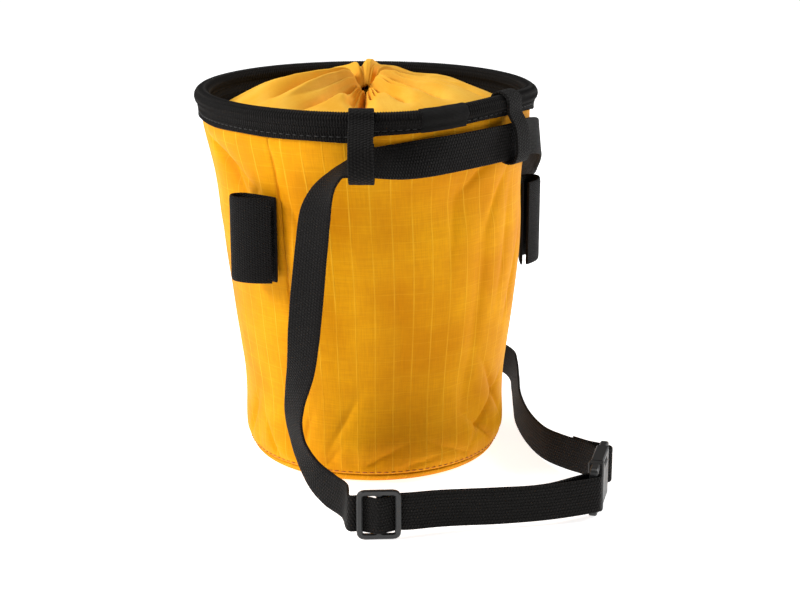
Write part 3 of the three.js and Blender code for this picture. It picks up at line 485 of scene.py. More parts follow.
def sweep(name, sections, closes=False, u=None):
    """A skin through closed sections, an array of (stations, points round, 3)."""
    grid = np.asarray(sections, float)
    count, round_count, _ = grid.shape
    if u is None:
        middle = grid.mean(axis=1)
        u = np.concatenate([[0], np.cumsum(np.linalg.norm(np.diff(middle, axis=0), axis=1))])
    if closes:
        u = np.append(u, u[-1] + (u[-1] - u[-2]))
    first = grid[0]
    legs = np.linalg.norm(np.roll(first, -1, axis=0) - first, axis=1)
    v = np.concatenate([[0], np.cumsum(legs)])
    faces = []
    uvs = []
    for i in range(count if closes else count - 1):
        n = (i + 1) % count
        for j in range(round_count):
            k = (j + 1) % round_count
            faces.append((i * round_count + j, i * round_count + k, n * round_count + k, n * round_count + j))
            uvs += [(u[i], v[j]), (u[i], v[j + 1]), (u[i + 1], v[j + 1]), (u[i + 1], v[j])]
    if not closes:
        last = (count - 1) * round_count
        for k in range(round_count // 2 - 1):
            other = round_count - 1 - k
            faces.append((k, other, other - 1, k + 1))
            faces.append((last + k, last + k + 1, last + other - 1, last + other))
            uvs += [(u[0], v[k]), (u[0], v[k]), (u[0], v[k + 1]), (u[0], v[k + 1])]
            uvs += [(u[-1], v[k]), (u[-1], v[k + 1]), (u[-1], v[k + 1]), (u[-1], v[k])]
    points = grid.reshape(-1, 3)
    if signed_volume(points, faces) < 0:
        faces = [face[::-1] for face in faces]
        flipped = []
        for k in range(0, len(uvs), 4):
            flipped += uvs[k:k + 4][::-1]
        uvs = flipped
    return mesh_object(name, points, faces, uvs)


def path_points(points, per_span):
    """Centripetal Catmull-Rom curve through points: places and their span parameters."""
    p = np.asarray(points, float)
    p = np.vstack([2 * p[0] - p[1], p, 2 * p[-1] - p[-2]])
    places = []
    spans = []
    for i in range(1, len(p) - 2):
        p0, p1, p2, p3 = p[i - 1], p[i], p[i + 1], p[i + 2]
        d1 = max(np.linalg.norm(p1 - p0) ** 0.5, 1e-6)
        d2 = max(np.linalg.norm(p2 - p1) ** 0.5, 1e-6)
        d3 = max(np.linalg.norm(p3 - p2) ** 0.5, 1e-6)
        t1 = ((p1 - p0) / d1 - (p2 - p0) / (d1 + d2) + (p2 - p1) / d2) * d2
        t2 = ((p2 - p1) / d2 - (p3 - p1) / (d2 + d3) + (p3 - p2) / d3) * d2
        for k in range(per_span):
            t = k / per_span
            a = 2 * t ** 3 - 3 * t ** 2 + 1
            b = t ** 3 - 2 * t ** 2 + t
            c = -2 * t ** 3 + 3 * t ** 2
            d = t ** 3 - t ** 2
            places.append(a * p1 + b * t1 + c * p2 + d * t2)
            spans.append(i - 1 + t)
    places.append(p[-2])
    spans.append(float(len(p) - 3))
    return np.array(places), np.array(spans)


def band_frames(stations, spacing):
    """Evenly spaced frames along a band: centres, directions across and face directions."""
    places, spans = path_points([s[0] for s in stations], 24)
    across = np.array([s[1] for s in stations], float)
    across /= np.linalg.norm(across, axis=1)[:, None]
    run = np.concatenate([[0], np.cumsum(np.linalg.norm(np.diff(places, axis=0), axis=1))])
    count = max(2, int(round(run[-1] / spacing)) + 1)
    at = np.linspace(0, run[-1], count)
    centres = np.stack([np.interp(at, run, places[:, k]) for k in range(3)], axis=1)
    where = np.interp(at, run, spans)
    low = np.clip(where.astype(int), 0, len(across) - 2)
    share = (where - low)[:, None]
    side = across[low] * (1 - share) + across[low + 1] * share
    tangent = np.gradient(centres, axis=0)
    tangent /= np.linalg.norm(tangent, axis=1)[:, None]
    side -= tangent * np.sum(side * tangent, axis=1)[:, None]
    side /= np.linalg.norm(side, axis=1)[:, None]
    face = np.cross(tangent, side)
    return at, centres, side, face


# Cross-section of a woven band: share of the half width, share of the half thickness.
BAND_SECTION = [
    (-1.00, 0.34), (-0.975, 0.80), (-0.90, 1.00), (-0.60, 0.93), (-0.20, 0.98), (0.20, 0.98),
    (0.60, 0.93), (0.90, 1.00), (0.975, 0.80), (1.00, 0.34),
]


def band(name, stations, width, thickness, spacing, rib_height=0.0):
    at, centres, side, face = band_frames(stations, spacing)
    rib = rib_height * np.cos(2 * math.pi * at / RIB_PITCH)
    wander = BAND_WANDER * ripple(7, at * 260)
    sections = []
    upper = []
    lower = []
    for share, thick in BAND_SECTION:
        offset = share * (width / 2 + wander * abs(share))
        height = thick * thickness / 2 + rib
        middle = centres + side * offset[:, None]
        upper.append(middle + face * height[:, None])
        lower.append(middle - face * height[:, None])
    sections = np.stack(upper + lower[::-1], axis=1)
    return sweep(name, sections, u=at)


# Stitches

def row_at(rows, keys, key):
    """The row of three numbers at a key, between the rows at the given keys."""
    return np.array([np.interp(key, keys, rows[:, k]) for k in range(3)])


def stitch_row(name, route, normals, pitch=STITCH_PITCH, length=STITCH_LENGTH):
    """A row of short threads that lie on a surface along a route of points."""
    route = np.asarray(route, float)
    normals = np.asarray(normals, float)
    run = np.concatenate([[0], np.cumsum(np.linalg.norm(np.diff(route, axis=0), axis=1))])
    count = max(1, int(run[-1] / pitch))
    points = []
    faces = []
    sides = 6
    rings = 5
    for n in range(count):
        start = (n + 0.5) * run[-1] / count - length / 2
        base = len(points)
        for r in range(rings):
            share = r / (rings - 1)
            s = start + share * length
            centre = row_at(route, run, s)
            ahead = row_at(route, run, s + 0.2 * MM)
            up = row_at(normals, run, s)
            along = ahead - centre
            along /= max(np.linalg.norm(along), 1e-9)
            up -= along * np.dot(up, along)
            up /= max(np.linalg.norm(up), 1e-9)
            beside = np.cross(along, up)
            arch = math.sin(math.pi * share)
            thick = THREAD_RADIUS * (0.45 + 0.55 * arch ** 0.5)
            centre = centre + up * (THREAD_RADIUS * (1.1 * arch - 0.55))
            for k in range(sides):
                a = 2 * math.pi * k / sides
                points.append(centre + thick * (math.cos(a) * beside + math.sin(a) * up))
        for r in range(rings - 1):
            for k in range(sides):
                m = (k + 1) % sides
                faces.append((base + r * sides + k, base + r * sides + m,
                              base + (r + 1) * sides + m, base + (r + 1) * sides + k))
        faces.append(tuple(base + k for k in reversed(range(sides))))
        faces.append(tuple(base + (rings - 1) * sides + k for k in range(sides)))
    return mesh_object(name, points, faces)


# Materials

def start_material(name, color, roughness):
    material = bpy.data.materials.new(name)
    material.use_nodes = True
    tree = material.node_tree
    shader = tree.nodes["Principled BSDF"]
    shader.inputs["Base Color"].default_value = (*color, 1)
    shader.inputs["Roughness"].default_value = roughness
    return material, tree, shader


def value_node(tree, operation, first, second=None):
    node = tree.nodes.new("ShaderNodeMath")
    node.operation = operation
    for socket, value in zip(node.inputs, (first, second)):
        if value is None:
            continue
        if isinstance(value, (int, float)):
            socket.default_value = value
        else:
            tree.links.new(value, socket)
    return node.outputs[0]


def metre_coordinates(tree):
    source = tree.nodes.new("ShaderNodeUVMap")
    source.uv_map = "metres"
    split = tree.nodes.new("ShaderNodeSeparateXYZ")
    tree.links.new(source.outputs["UV"], split.inputs[0])
    return source.outputs["UV"], split.outputs["X"], split.outputs["Y"]


def line_mask(tree, coordinate, pitch, width):
    """One on thin lines a pitch apart, zero between them."""
    fold = value_node(tree, "PINGPONG", coordinate, pitch / 2)
    ramp = tree.nodes.new("ShaderNodeMapRange")
    ramp.interpolation_type = "SMOOTHSTEP"
    ramp.inputs["From Min"].default_value = width
    ramp.inputs["From Max"].default_value = width * 0.35
    tree.links.new(fold, ramp.inputs["Value"])
    return ramp.outputs["Result"]


def noise_node(tree, vector, scale, detail):
    noise = tree.nodes.new("ShaderNodeTexNoise")
    noise.inputs["Scale"].default_value = scale
    noise.inputs["Detail"].default_value = detail
    tree.links.new(vector, noise.inputs["Vector"])
    return noise.outputs["Fac"]


def threads(tree, uv, along, across):
    """Noise drawn out along one direction of the cloth; sizes in metres."""
    mapping = tree.nodes.new("ShaderNodeMapping")
    mapping.inputs["Scale"].default_value = (1 / along, 1 / across, 1)
    tree.links.new(uv, mapping.inputs["Vector"])
    return noise_node(tree, mapping.outputs[0], 1.0, 3.0)


def plain_weave(tree, uv, size, run):
    """Threads of a size both ways, each drawn out over a run."""
    return value_node(tree, "ADD", threads(tree, uv, size, run), threads(tree, uv, run, size))


def object_noise(tree, size, detail=3.0):
    coordinates = tree.nodes.new("ShaderNodeTexCoord")
    return noise_node(tree, coordinates.outputs["Object"], 1 / size, detail)


def blend_colors(tree, amount, first, second):
    node = tree.nodes.new("ShaderNodeMix")
    node.data_type = "RGBA"
    for socket, value in ((node.inputs[6], first), (node.inputs[7], second)):
        if isinstance(value, tuple):
            socket.default_value = (*value, 1)
        else:
            tree.links.new(value, socket)
    if isinstance(amount, (int, float)):
        node.inputs[0].default_value = amount
    else:
        tree.links.new(amount, node.inputs[0])
    return node.outputs[2]


def ramp_between(tree, value, low, high):
    node = tree.nodes.new("ShaderNodeMapRange")
    node.inputs["From Min"].default_value = low
    node.inputs["From Max"].default_value = high
    tree.links.new(value, node.inputs["Value"])
    return node.outputs["Result"]


def add_bump(tree, shader, height, distance, strength):
    bump = tree.nodes.new("ShaderNodeBump")
    bump.inputs["Distance"].default_value = distance
    bump.inputs["Strength"].default_value = strength
    tree.links.new(height, bump.inputs["Height"])
    tree.links.new(bump.outputs[0], shader.inputs["Normal"])


def ripstop_cloth():
    material, tree, shader = start_material("ripstop_yellow", YELLOW_CLOTH, 0.62)
    uv, u, v = metre_coordinates(tree)
    upright = line_mask(tree, u, GRID_PITCH, GRID_UPRIGHT)
    level = line_mask(tree, v, GRID_PITCH, GRID_LEVEL)
    lines = value_node(tree, "MAXIMUM", upright, value_node(tree, "MULTIPLY", level, 0.35))
    cloth = plain_weave(tree, uv, RIPSTOP_THREAD, RIPSTOP_RUN)
    mottle = object_noise(tree, RIPSTOP_MOTTLE)
    tone = blend_colors(tree, ramp_between(tree, mottle, 0.35, 0.70), YELLOW_CLOTH, YELLOW_LIGHT)
    streaks = blend_colors(tree, ramp_between(tree, cloth, 1.22, 0.78), tone, YELLOW_DEEP)
    fine = blend_colors(tree, 0.30, tone, streaks)
    worn = ramp_between(tree, object_noise(tree, GRID_WEAR), 0.20, 0.75)
    shown = value_node(tree, "MULTIPLY", value_node(tree, "MULTIPLY", lines, 0.62), worn)
    lined = blend_colors(tree, shown, fine, YELLOW_LINE)
    tree.links.new(lined, shader.inputs["Base Color"])
    cloth_relief = value_node(tree, "MULTIPLY", cloth, 0.55)
    relief = value_node(tree, "ADD", cloth_relief, value_node(tree, "MULTIPLY", lines, 0.6))
    add_bump(tree, shader, relief, RIPSTOP_RELIEF, 0.75)
    shader.inputs["Specular IOR Level"].default_value = 0.07
    return material


def collar_cloth():
    material, tree, shader = start_material("collar_yellow", COLLAR_CLOTH_COLOR, 0.68)
    uv, _, _ = metre_coordinates(tree)
    cloth = plain_weave(tree, uv, COLLAR_THREAD, COLLAR_RUN)
    mottle = object_noise(tree, COLLAR_MOTTLE)
    tone = blend_colors(tree, ramp_between(tree, mottle, 0.35, 0.68), COLLAR_CLOTH_COLOR, COLLAR_LIGHT)
    streaks = value_node(tree, "MULTIPLY", ramp_between(tree, cloth, 1.2, 0.8), 0.14)
    fine = blend_colors(tree, streaks, tone, COLLAR_DEEP)
    tree.links.new(fine, shader.inputs["Base Color"])
    add_bump(tree, shader, cloth, COLLAR_RELIEF, 0.5)
    shader.inputs["Sheen Weight"].default_value = 0.03
    shader.inputs["Sheen Roughness"].default_value = 0.5
    shader.inputs["Specular IOR Level"].default_value = 0.14
    return material


def woven_black(name, dark, light, along_u, pitch, column):
    """Black webbing or elastic: ribs across its length, in columns that are half a rib apart. The raised
    crests of the weave are painted lighter as a painted highlight, and its grooves stay black as painted
    shade; fuzz and wear vary that lighter colour at random.
    """
    material, tree, shader = start_material(name, dark, 0.78)
    _, u, v = metre_coordinates(tree)
    length, width = (u, v) if along_u else (v, u)
    number = value_node(tree, "FLOOR", value_node(tree, "DIVIDE", width, column))
    step = value_node(tree, "MULTIPLY", number, 0.5)
    phase = value_node(tree, "ADD", value_node(tree, "DIVIDE", length, pitch), step)
    rib = value_node(tree, "SINE", value_node(tree, "MULTIPLY", phase, 2 * math.pi))
    dent = value_node(tree, "SINE", value_node(tree, "MULTIPLY", width, math.pi / column))
    raised_rib = value_node(tree, "ADD", rib, 1.0)
    weave = value_node(tree, "MULTIPLY", raised_rib, value_node(tree, "ABSOLUTE", dent))
    fuzz = object_noise(tree, FUZZ_SIZE, 4.0)
    wear = object_noise(tree, WEAR_SIZE)
    # Painted highlight on the raised crests of the weave, with painted shade left in its grooves
    raised = ramp_between(tree, weave, 0.9, 2.0)
    tone = value_node(tree, "MULTIPLY", raised, ramp_between(tree, fuzz, 0.30, 0.72))
    tone = value_node(tree, "MULTIPLY", tone, ramp_between(tree, wear, 0.15, 0.75))
    tree.links.new(blend_colors(tree, tone, dark, light), shader.inputs["Base Color"])
    weave_relief = value_node(tree, "MULTIPLY", weave, 0.5)
    height = value_node(tree, "ADD", weave_relief, value_node(tree, "MULTIPLY", fuzz, 0.6))
    add_bump(tree, shader, height, WEAVE_RELIEF, 0.95)
    shader.inputs["Sheen Weight"].default_value = 0.02
    shader.inputs["Sheen Roughness"].default_value = 0.4
    shader.inputs["Specular IOR Level"].default_value = 0.16
    return material


def moulded_plastic():
    material, tree, shader = start_material("plastic_black", BLACK_PLASTIC, 0.34)
    grain = object_noise(tree, PLASTIC_GRAIN, 2.0)
    smear = object_noise(tree, PLASTIC_SMEAR)
    tree.links.new(ramp_between(tree, smear, -0.9, 2.6), shader.inputs["Roughness"])
    add_bump(tree, shader, grain, PLASTIC_RELIEF, 0.4)
    shader.inputs["Specular IOR Level"].default_value = 0.5
    return material


def thread(name, color):
    material, tree, shader = start_material(name, color, 0.6)
    twist = object_noise(tree, THREAD_TWIST, 2.0)
    darker = tuple(0.55 * c for c in color)
    tone = blend_colors(tree, ramp_between(tree, twist, 0.35, 0.65), darker, color)
    tree.links.new(tone, shader.inputs["Base Color"])
    add_bump(tree, shader, twist, THREAD_RELIEF, 0.5)
    return material


LOOKS = {
    "ripstop": ripstop_cloth(),
    "collar": collar_cloth(),
    "webbing": woven_black("webbing_black", BLACK_WEBBING, WEBBING_CREST_HIGHLIGHT, True, *WEBBING_WEAVE),
    "binding": woven_black("binding_black", BLACK_WEBBING, WEBBING_CREST_HIGHLIGHT, True, *BINDING_WEAVE),
    "tape": woven_black("tape_black", BLACK_ELASTIC, ELASTIC_CREST_HIGHLIGHT, True, *TAPE_WEAVE),
    "elastic": woven_black("elastic_black", BLACK_ELASTIC, ELASTIC_CREST_HIGHLIGHT, False, *ELASTIC_WEAVE),
    "plastic": moulded_plastic(),
    "black_thread": thread("black_thread", BLACK_THREAD),
    "orange_thread": thread("orange_thread", ORANGE_THREAD),
}


def dress(obj, look, slot, *nodes):
    """Gives a piece its finish and its body, and hides the solids that it stands for."""
    obj.data.materials.append(LOOKS[look])
    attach(obj, "root")
    if nodes:
        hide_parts(*nodes)
    return obj


# Bag body

def fold_field(rows, angle, z, sharp):
    depth = np.zeros(np.broadcast(angle, z).shape)
    for middle, height, length, width, turn, deep in rows:
        across = np.radians(turn_between(angle, middle)) * BASE_RADIUS
        up = z - height * BAG_HEIGHT
        c, s = math.cos(math.radians(turn)), math.sin(math.radians(turn))
        along = up * c + across * s
        aside = across * c - up * s
        reach = (along / (length * BAG_HEIGHT)) ** 2
        spread = aside / (width * BAG_HEIGHT)
        if sharp:
            profile = CREASE_STRENGTH * np.exp(-np.sqrt(spread ** 2 + 0.05) * 1.4 + 0.31)
        else:
            profile = np.exp(-spread ** 2)
        depth = depth + deep * BASE_RADIUS * np.exp(-reach) * profile
    return depth


def plain_wall_radius(z):
    return mix(BASE_RADIUS, MOUTH_RADIUS, curve_through(WALL_OUTLINE, z / BAG_HEIGHT))


def wall_radius(angle, z):
    seam = np.minimum(np.abs(turn_between(angle, SEAM_ANGLE)), np.abs(turn_between(angle, -SEAM_ANGLE)))
    below = (HEM_Z - z) / BAG_HEIGHT - HEM_CALM
    free = smooth(below / HEM_FADE) * smooth((z - WALL_FOOT) / (FOOT_FADE * BAG_HEIGHT))
    dip = SEAM_DIP * np.exp(-((seam / SEAM_DIP_ANGLE) ** 2))
    dip = dip + SEAM_LINE * np.exp(-((seam / SEAM_LINE_ANGLE) ** 2))
    folds = fold_field(DENTS, angle, z, False) + fold_field(CREASES, angle, z, True)
    run = np.radians(angle) * BASE_RADIUS
    below_hem = np.exp(-np.abs(HEM_Z - z) / HEM_PUCKER_REACH)
    above_base = np.exp(-np.abs(z - WALL_FOOT) / BASE_PUCKER_REACH)
    at_seam = np.exp(-((seam / SEAM_PUCKER_ANGLE) ** 2))
    hem_pucker = HEM_PUCKER * ripple(3, run * 900) * below_hem
    base_pucker = BASE_PUCKER * ripple(5, run * 800, z * 60) * above_base
    seam_pucker = SEAM_PUCKER * np.sin(z * 780 + 2 * ripple(9, z * 60)) * at_seam
    soft = SOFT_BROAD * ripple(11, run * 90, z * 45) + SOFT_FINE * ripple(13, run * 260, z * 150)
    raised = soft + seam_pucker + base_pucker + hem_pucker
    return plain_wall_radius(z) + free * (raised - folds - dip)


def wall_panel(name, start, stop):
    edge = math.degrees(GAP / 2 / BASE_RADIUS)
    columns = int((stop - start) / WALL_STEP)
    angles = np.linspace(start + edge, stop - edge, columns + 1)
    heights = np.linspace(WALL_FOOT, WALL_TOP, WALL_ROWS)
    angle, z = np.meshgrid(angles, heights, indexing="ij")
    radius = wall_radius(angle, z)
    outer = around(angle, radius, z)
    inner = around(angle, radius - WALL, z)
    sections = np.concatenate([outer, inner[:, ::-1]], axis=1)
    return sweep(name, sections, u=np.radians(angles) * BASE_RADIUS)


def base_panel():
    """A round of cloth with a turned-up edge under the wall."""
    edge = BASE_EDGE_RADIUS
    foot = BASE_RADIUS - FOOT_TUCK * (MOUTH_RADIUS - BASE_RADIUS) - edge
    profile = [(r, 0.0) for r in np.linspace(1.5 * MM, foot, 14)]
    for a in np.radians(np.arange(10, 76, 9)):
        profile.append((foot + edge * math.sin(a), edge - edge * math.cos(a)))
    profile = [(r, z) for r, z in profile if z <= BASE_RISE]
    top = [(max(r - 0.2 * MM, 1.5 * MM), z + WALL) for r, z in profile if z + WALL <= BASE_RISE]
    section = profile + [(profile[-1][0] - WALL, BASE_RISE)] + top[::-1]
    sections = []
    for angle in np.linspace(0, 360, 180, endpoint=False):
        sections.append([around(angle, r, z) for r, z in section])
    grid = np.array(sections)
    count, length, _ = grid.shape
    points = grid.reshape(-1, 3)
    faces = []
    uvs = []
    for i in range(count):
        n = (i + 1) % count
        for j in range(length - 1):
            face = (i * length + j, n * length + j, n * length + j + 1, i * length + j + 1)
            faces.append(face)
            uvs += [(points[k][0], points[k][1]) for k in face]
    under = tuple(i * length for i in reversed(range(count)))
    over = tuple(i * length + length - 1 for i in range(count))
    faces += [under, over]
    uvs += [(points[k][0], points[k][1]) for k in under + over]
    return mesh_object("base_cloth", points, faces, uvs)


dress(wall_panel("back_cloth", -SEAM_ANGLE, SEAM_ANGLE), "ripstop", "cloth_yellow", "back_panel")
dress(wall_panel("front_cloth", SEAM_ANGLE, 360 - SEAM_ANGLE), "ripstop", "cloth_yellow", "front_panel")
dress(base_panel(), "ripstop", "cloth_yellow", "base_panel")


RING_ANGLES = np.linspace(-180, 180, 721)


def ring_stitches(name, radius, level):
    """A row of stitches round the bag, with a radius and a height for each of the ring's angles."""
    a = np.radians(RING_ANGLES)
    normals = np.stack([np.sin(a), -np.cos(a), 0 * a], axis=1)
    return stitch_row(name, around(RING_ANGLES, radius, level), normals)


base_level = WALL_FOOT + BASE_STITCH_UP + 0 * RING_ANGLES
base_ring = wall_radius(RING_ANGLES, base_level) + BASE_STITCH_OFF
dress(ring_stitches("base_stitches", base_ring, base_level), "orange_thread", "cloth_yellow")


# Rim binding: tape folded over the piping, with ribs across it and a row of stitches

def hem_tuck(angle):
    return HEM_TUCK * curve_through(HEM_TUCKS, turn_between(angle, 0))


def bead_row(turn):
    """Profile row on the bead at a turn in degrees: radius, height and no tuck."""
    a = math.radians(turn)
    return (BEAD_CENTRE_RADIUS + BEAD_RADIUS * math.cos(a), BEAD_CENTRE_Z + BEAD_RADIUS * math.sin(a), 0)


def rim_profile():
    """Section of the binding: radius, height and the share of the hem's tuck."""
    cloth_side = MOUTH_RADIUS - WALL - GAP
    under_bead = BEAD_CENTRE_Z - BEAD_RADIUS
    return [
        (HEM_INNER, HEM_Z, 1),
        (HEM_OUTER - 0.35 * MM, HEM_Z - 0.1 * MM, 1),
        (HEM_OUTER, HEM_Z + 0.5 * MM, 1),
        (HEM_OUTER - 0.05 * MM, HEM_Z + 1.7 * MM, 0.9),
        (HEM_OUTER - 0.22 * MM, HEM_Z + HEM_STITCH_UP, STITCH_TUCK),
        (HEM_OUTER - 0.02 * MM, HEM_Z + 2.8 * MM, 0.7),
        *[bead_row(turn) for turn in np.linspace(-48, 222, 13)],
        (LEG_INNER + 0.1 * MM, BEAD_CENTRE_Z - 1.4 * BEAD_RADIUS, 0),
        (LEG_INNER, LEG_FOOT_Z + 0.4 * MM, 0),
        (LEG_INNER + 0.4 * MM, LEG_FOOT_Z, 0),
        (cloth_side, LEG_FOOT_Z, 0),
        (cloth_side, under_bead, 0),
        (HEM_INNER, under_bead, 0),
    ]


def rib_direction(k, radius, z):
    """Which way the ribs stand off a profile row: off the hem, or off the bead's centre."""
    if k < 2 or k >= RIBBED_ROWS:
        return 0.0, 0.0
    if k < HEM_ROWS:
        return 1.0, 0.0
    out = radius - BEAD_CENTRE_RADIUS
    up = z - BEAD_CENTRE_Z
    reach = math.hypot(out, up)
    return out / reach, up / reach


def rim_binding():
    ribs = int(round(2 * math.pi * RIM_RADIUS / RIB_PITCH))
    angles = np.linspace(0, 360, ribs * STEPS_PER_RIB, endpoint=False) - 180
    a = np.radians(angles)
    rib = RIB_HEIGHT * np.cos(a * ribs)
    hem_wave = HEM_WAVE_BROAD * np.sin(a * 5 + 1) + HEM_WAVE_FINE * np.sin(a * 13)
    columns = []
    for k, (radius, z, tucked) in enumerate(rim_profile()):
        out, up = rib_direction(k, radius, z)
        uneven = hem_wave if 0 < k < HEM_ROWS else 0.0
        level = z + tucked * (hem_tuck(angles) + uneven) + up * rib
        columns.append(around(angles, radius + out * rib, level))
    return sweep("rim_tape", np.stack(columns, axis=1), closes=True, u=a * RIM_RADIUS)


def join_patch():
    """A short smooth tape over the place where the binding's ends meet."""
    angles = np.linspace(PATCH_FROM, PATCH_TO, 40)
    rows = [(HEM_OUTER, HEM_Z - 0.2 * MM, 1), (HEM_OUTER + 0.02 * MM, HEM_Z + 2 * MM, 0.9)]
    rows.append((HEM_OUTER, HEM_Z + 3.4 * MM, 0.5))
    rows += [bead_row(turn) for turn in np.arange(PATCH_FIRST_TURN, 150, PATCH_TURN_STEP)]
    outer = []
    inner = []
    crumple = PATCH_CRUMPLE * ripple(31, angles * 1.1)
    for k, (radius, z, tucked) in enumerate(rows):
        turn = math.radians(max(PATCH_FIRST_TURN + PATCH_TURN_STEP * (k - 3), 0))
        level = z + tucked * hem_tuck(angles)
        uneven = crumple + PATCH_CRUMPLE / 2 * math.sin(3 * k)
        for skin, lift in ((outer, PATCH_CLOTH + uneven), (inner, PATCH_UNDER)):
            skin.append(around(angles, radius + lift * math.cos(turn), level + lift * math.sin(turn)))
    sections = np.stack(outer + inner[::-1], axis=1)
    return sweep("join_patch", sections, u=np.radians(angles) * RIM_RADIUS)


dress(rim_binding(), "binding", "webbing_black", "rim_binding")
rim_level = HEM_Z + HEM_STITCH_UP + STITCH_TUCK * hem_tuck(RING_ANGLES)
rim_ring = HEM_OUTER - RIM_STITCH_SUNK
dress(ring_stitches("rim_stitches", rim_ring, rim_level), "black_thread", "webbing_black")
dress(join_patch(), "tape", "webbing_black")


# Gathered collar

def collar_height(angle, reach):
    rise = curve_through(COLLAR_SECTION, reach)
    for middle, half, lift in COLLAR_SWELLS:
        near = smooth(1 - np.abs(turn_between(angle, middle)) / half)
        rise = rise + lift * near * smooth(reach / 0.35) * smooth((1 - reach) / 0.45)
    for middle, half, lift in COLLAR_BILLOWS:
        near = smooth(1 - np.abs(turn_between(angle, middle)) / half)
        rise = rise + lift * near * smooth(reach / 0.14) * smooth((0.52 - reach) / 0.36)
    for rows, power in ((COLLAR_FOLDS, 1.3), (COLLAR_PLEATS, 1.1)):
        for middle, half, depth, limit in rows:
            wander = middle + FOLD_WANDER * np.sin(reach * 5 + middle) * reach
            aside = np.abs(turn_between(angle, wander)) / (FOLD_SPREAD * half)
            valley = np.clip(1 - aside, 0, 1) ** power
            fade = smooth((limit - reach) / (0.55 * limit)) * smooth(reach / 0.2)
            rise = rise - FOLD_STRENGTH * depth * valley * fade
    between = smooth(reach / 0.3) * smooth((1 - reach) / 0.2)
    swell = 0.05 * ripple(21, np.radians(angle) * 3, reach * 6) * between
    return COLLAR_EDGE_Z + COLLAR_RISE * (rise + swell)


def collar():
    angles = np.linspace(0, 360, COLLAR_COLUMNS, endpoint=False)
    reaches = np.linspace(COLLAR_HOLE_RADIUS / COLLAR_RADIUS, 1, COLLAR_ROWS)
    angle, reach = np.meshgrid(angles, reaches, indexing="ij")
    z = collar_height(angle, reach)
    top = around(angle, reach * COLLAR_RADIUS, z)
    under = around(angle, reach * COLLAR_RADIUS, z - COLLAR_CLOTH)
    sections = np.concatenate([top, under[:, ::-1]], axis=1)
    return sweep("collar_cloth", sections, closes=True, u=np.radians(angles) * COLLAR_RADIUS * 0.5)


dress(collar(), "collar", "collar_yellow", "collar")


# Belt loops

def loop_stations(angle, stand):
    standing = RIM_RADIUS + stand * LOOP_WIDTH
    half = LOOP_THICKNESS / 2
    over = BEAD_RADIUS + GAP + FACET_SAG + half
    wall_face = plain_wall_radius(BAG_HEIGHT - LOOP_DROP) + GAP + half
    route = [(BEAD_CENTRE_RADIUS - over, BEAD_CENTRE_Z - 1.5 * BEAD_RADIUS)]
    for turn in (180, 135, 90, 48, 12):
        a = math.radians(turn)
        route.append((BEAD_CENTRE_RADIUS + over * math.cos(a), BEAD_CENTRE_Z + over * math.sin(a)))
    for out, drop in LOOP_BAND:
        route.append((mix(wall_face, standing, out), BAG_HEIGHT - drop * LOOP_DROP))
    rise_to = HEM_Z - GAP - half
    risen = plain_wall_radius(rise_to) + GAP + half
    route.append((mix(wall_face, risen, 0.5) + GAP, mix(BAG_HEIGHT - LOOP_DROP, rise_to, 0.5)))
    route.append((risen, rise_to))
    a = math.radians(angle)
    across = (math.cos(a), math.sin(a), 0)
    return [(around(angle, radius, z), across) for radius, z in route]


for node, angle, stand in BELT_LOOPS:
    stations = loop_stations(angle, stand)
    step = RIB_PITCH / STEPS_PER_RIB
    tape = band(node + "_tape", stations, LOOP_WIDTH, LOOP_THICKNESS, step, LOOP_RIB_HEIGHT)
    dress(tape, "webbing", "webbing_black", node)


# Brush holders

def holder_stations(side, foot, height, swing):
    middle = foot + height / 2
    widest = plain_wall_radius(foot + height) + GAP + HOLDER_ELASTIC / 2
    seam = around(side * (SEAM_ANGLE + 1), widest, middle)
    heading = math.radians(side * (SEAM_ANGLE + 1 - swing))
    away = side * np.array([math.cos(heading), math.sin(heading), 0])
    outward = np.array([math.sin(heading), -math.cos(heading), 0])
    stations = []
    for along, off in HOLDER_BAND:
        place = seam + away * along * HOLDER_LENGTH + outward * off * HOLDER_DEPTH
        stations.append((place, UP))
    return stations


for node, side, foot, height, swing in BRUSH_HOLDERS:
    stations = holder_stations(side, foot, height, swing)
    tube = band(node + "_elastic", stations, height, HOLDER_ELASTIC, HOLDER_STEP)
    dress(tube, "elastic", "elastic_black", node)


# Belt

def spot_point(spot, along, off):
    a = math.radians(spot[2])
    return np.array([
        spot[0] * RIM_RADIUS + along * math.cos(a) + off * math.sin(a),
        spot[1] * RIM_RADIUS + along * math.sin(a) - off * math.cos(a),
        FITTING_TALL / 2 + FLOOR_GAP,
    ])


LAYER = BELT_THICKNESS + GAP


def belt_station(row):
    x, y, up, lift, across = row
    return (np.array([x * RIM_RADIUS, y * RIM_RADIUS, up * BAG_HEIGHT + lift * FITTING_TALL]), across)


def slider_weave():
    off = SLIDER_THICKNESS / 2 + BELT_THICKNESS / 2 + GAP
    end = SLIDER_LENGTH / 2
    bar = end - FITTING_BAR / 2
    slot = mix(end - FITTING_BAR, SLIDER_CENTRE_BAR / 2, 0.5)
    rows = [(-end - 2.5 * MM, -off), (-bar, -off), (-slot, 0), (0, off), (slot, 0), (bar, -off)]
    rows.append((end + 2.5 * MM, -off))
    return [(spot_point(SLIDER_SPOT, along, offset), DOWN) for along, offset in rows]


def bar_turn(end_sign, heading):
    bar = spot_point(BUCKLE_SPOT, end_sign * (BUCKLE_LENGTH / 2 - FITTING_BAR / 2), 0)
    reach = BUCKLE_FRAME_THICKNESS / 2 + GAP + BELT_THICKNESS / 2 + GAP
    stations = []
    for turn in (82, 130, 180, 230, 278):
        a = math.radians(heading + turn)
        stations.append((bar + np.array([reach * math.cos(a), reach * math.sin(a), 0]), DOWN))
    return stations


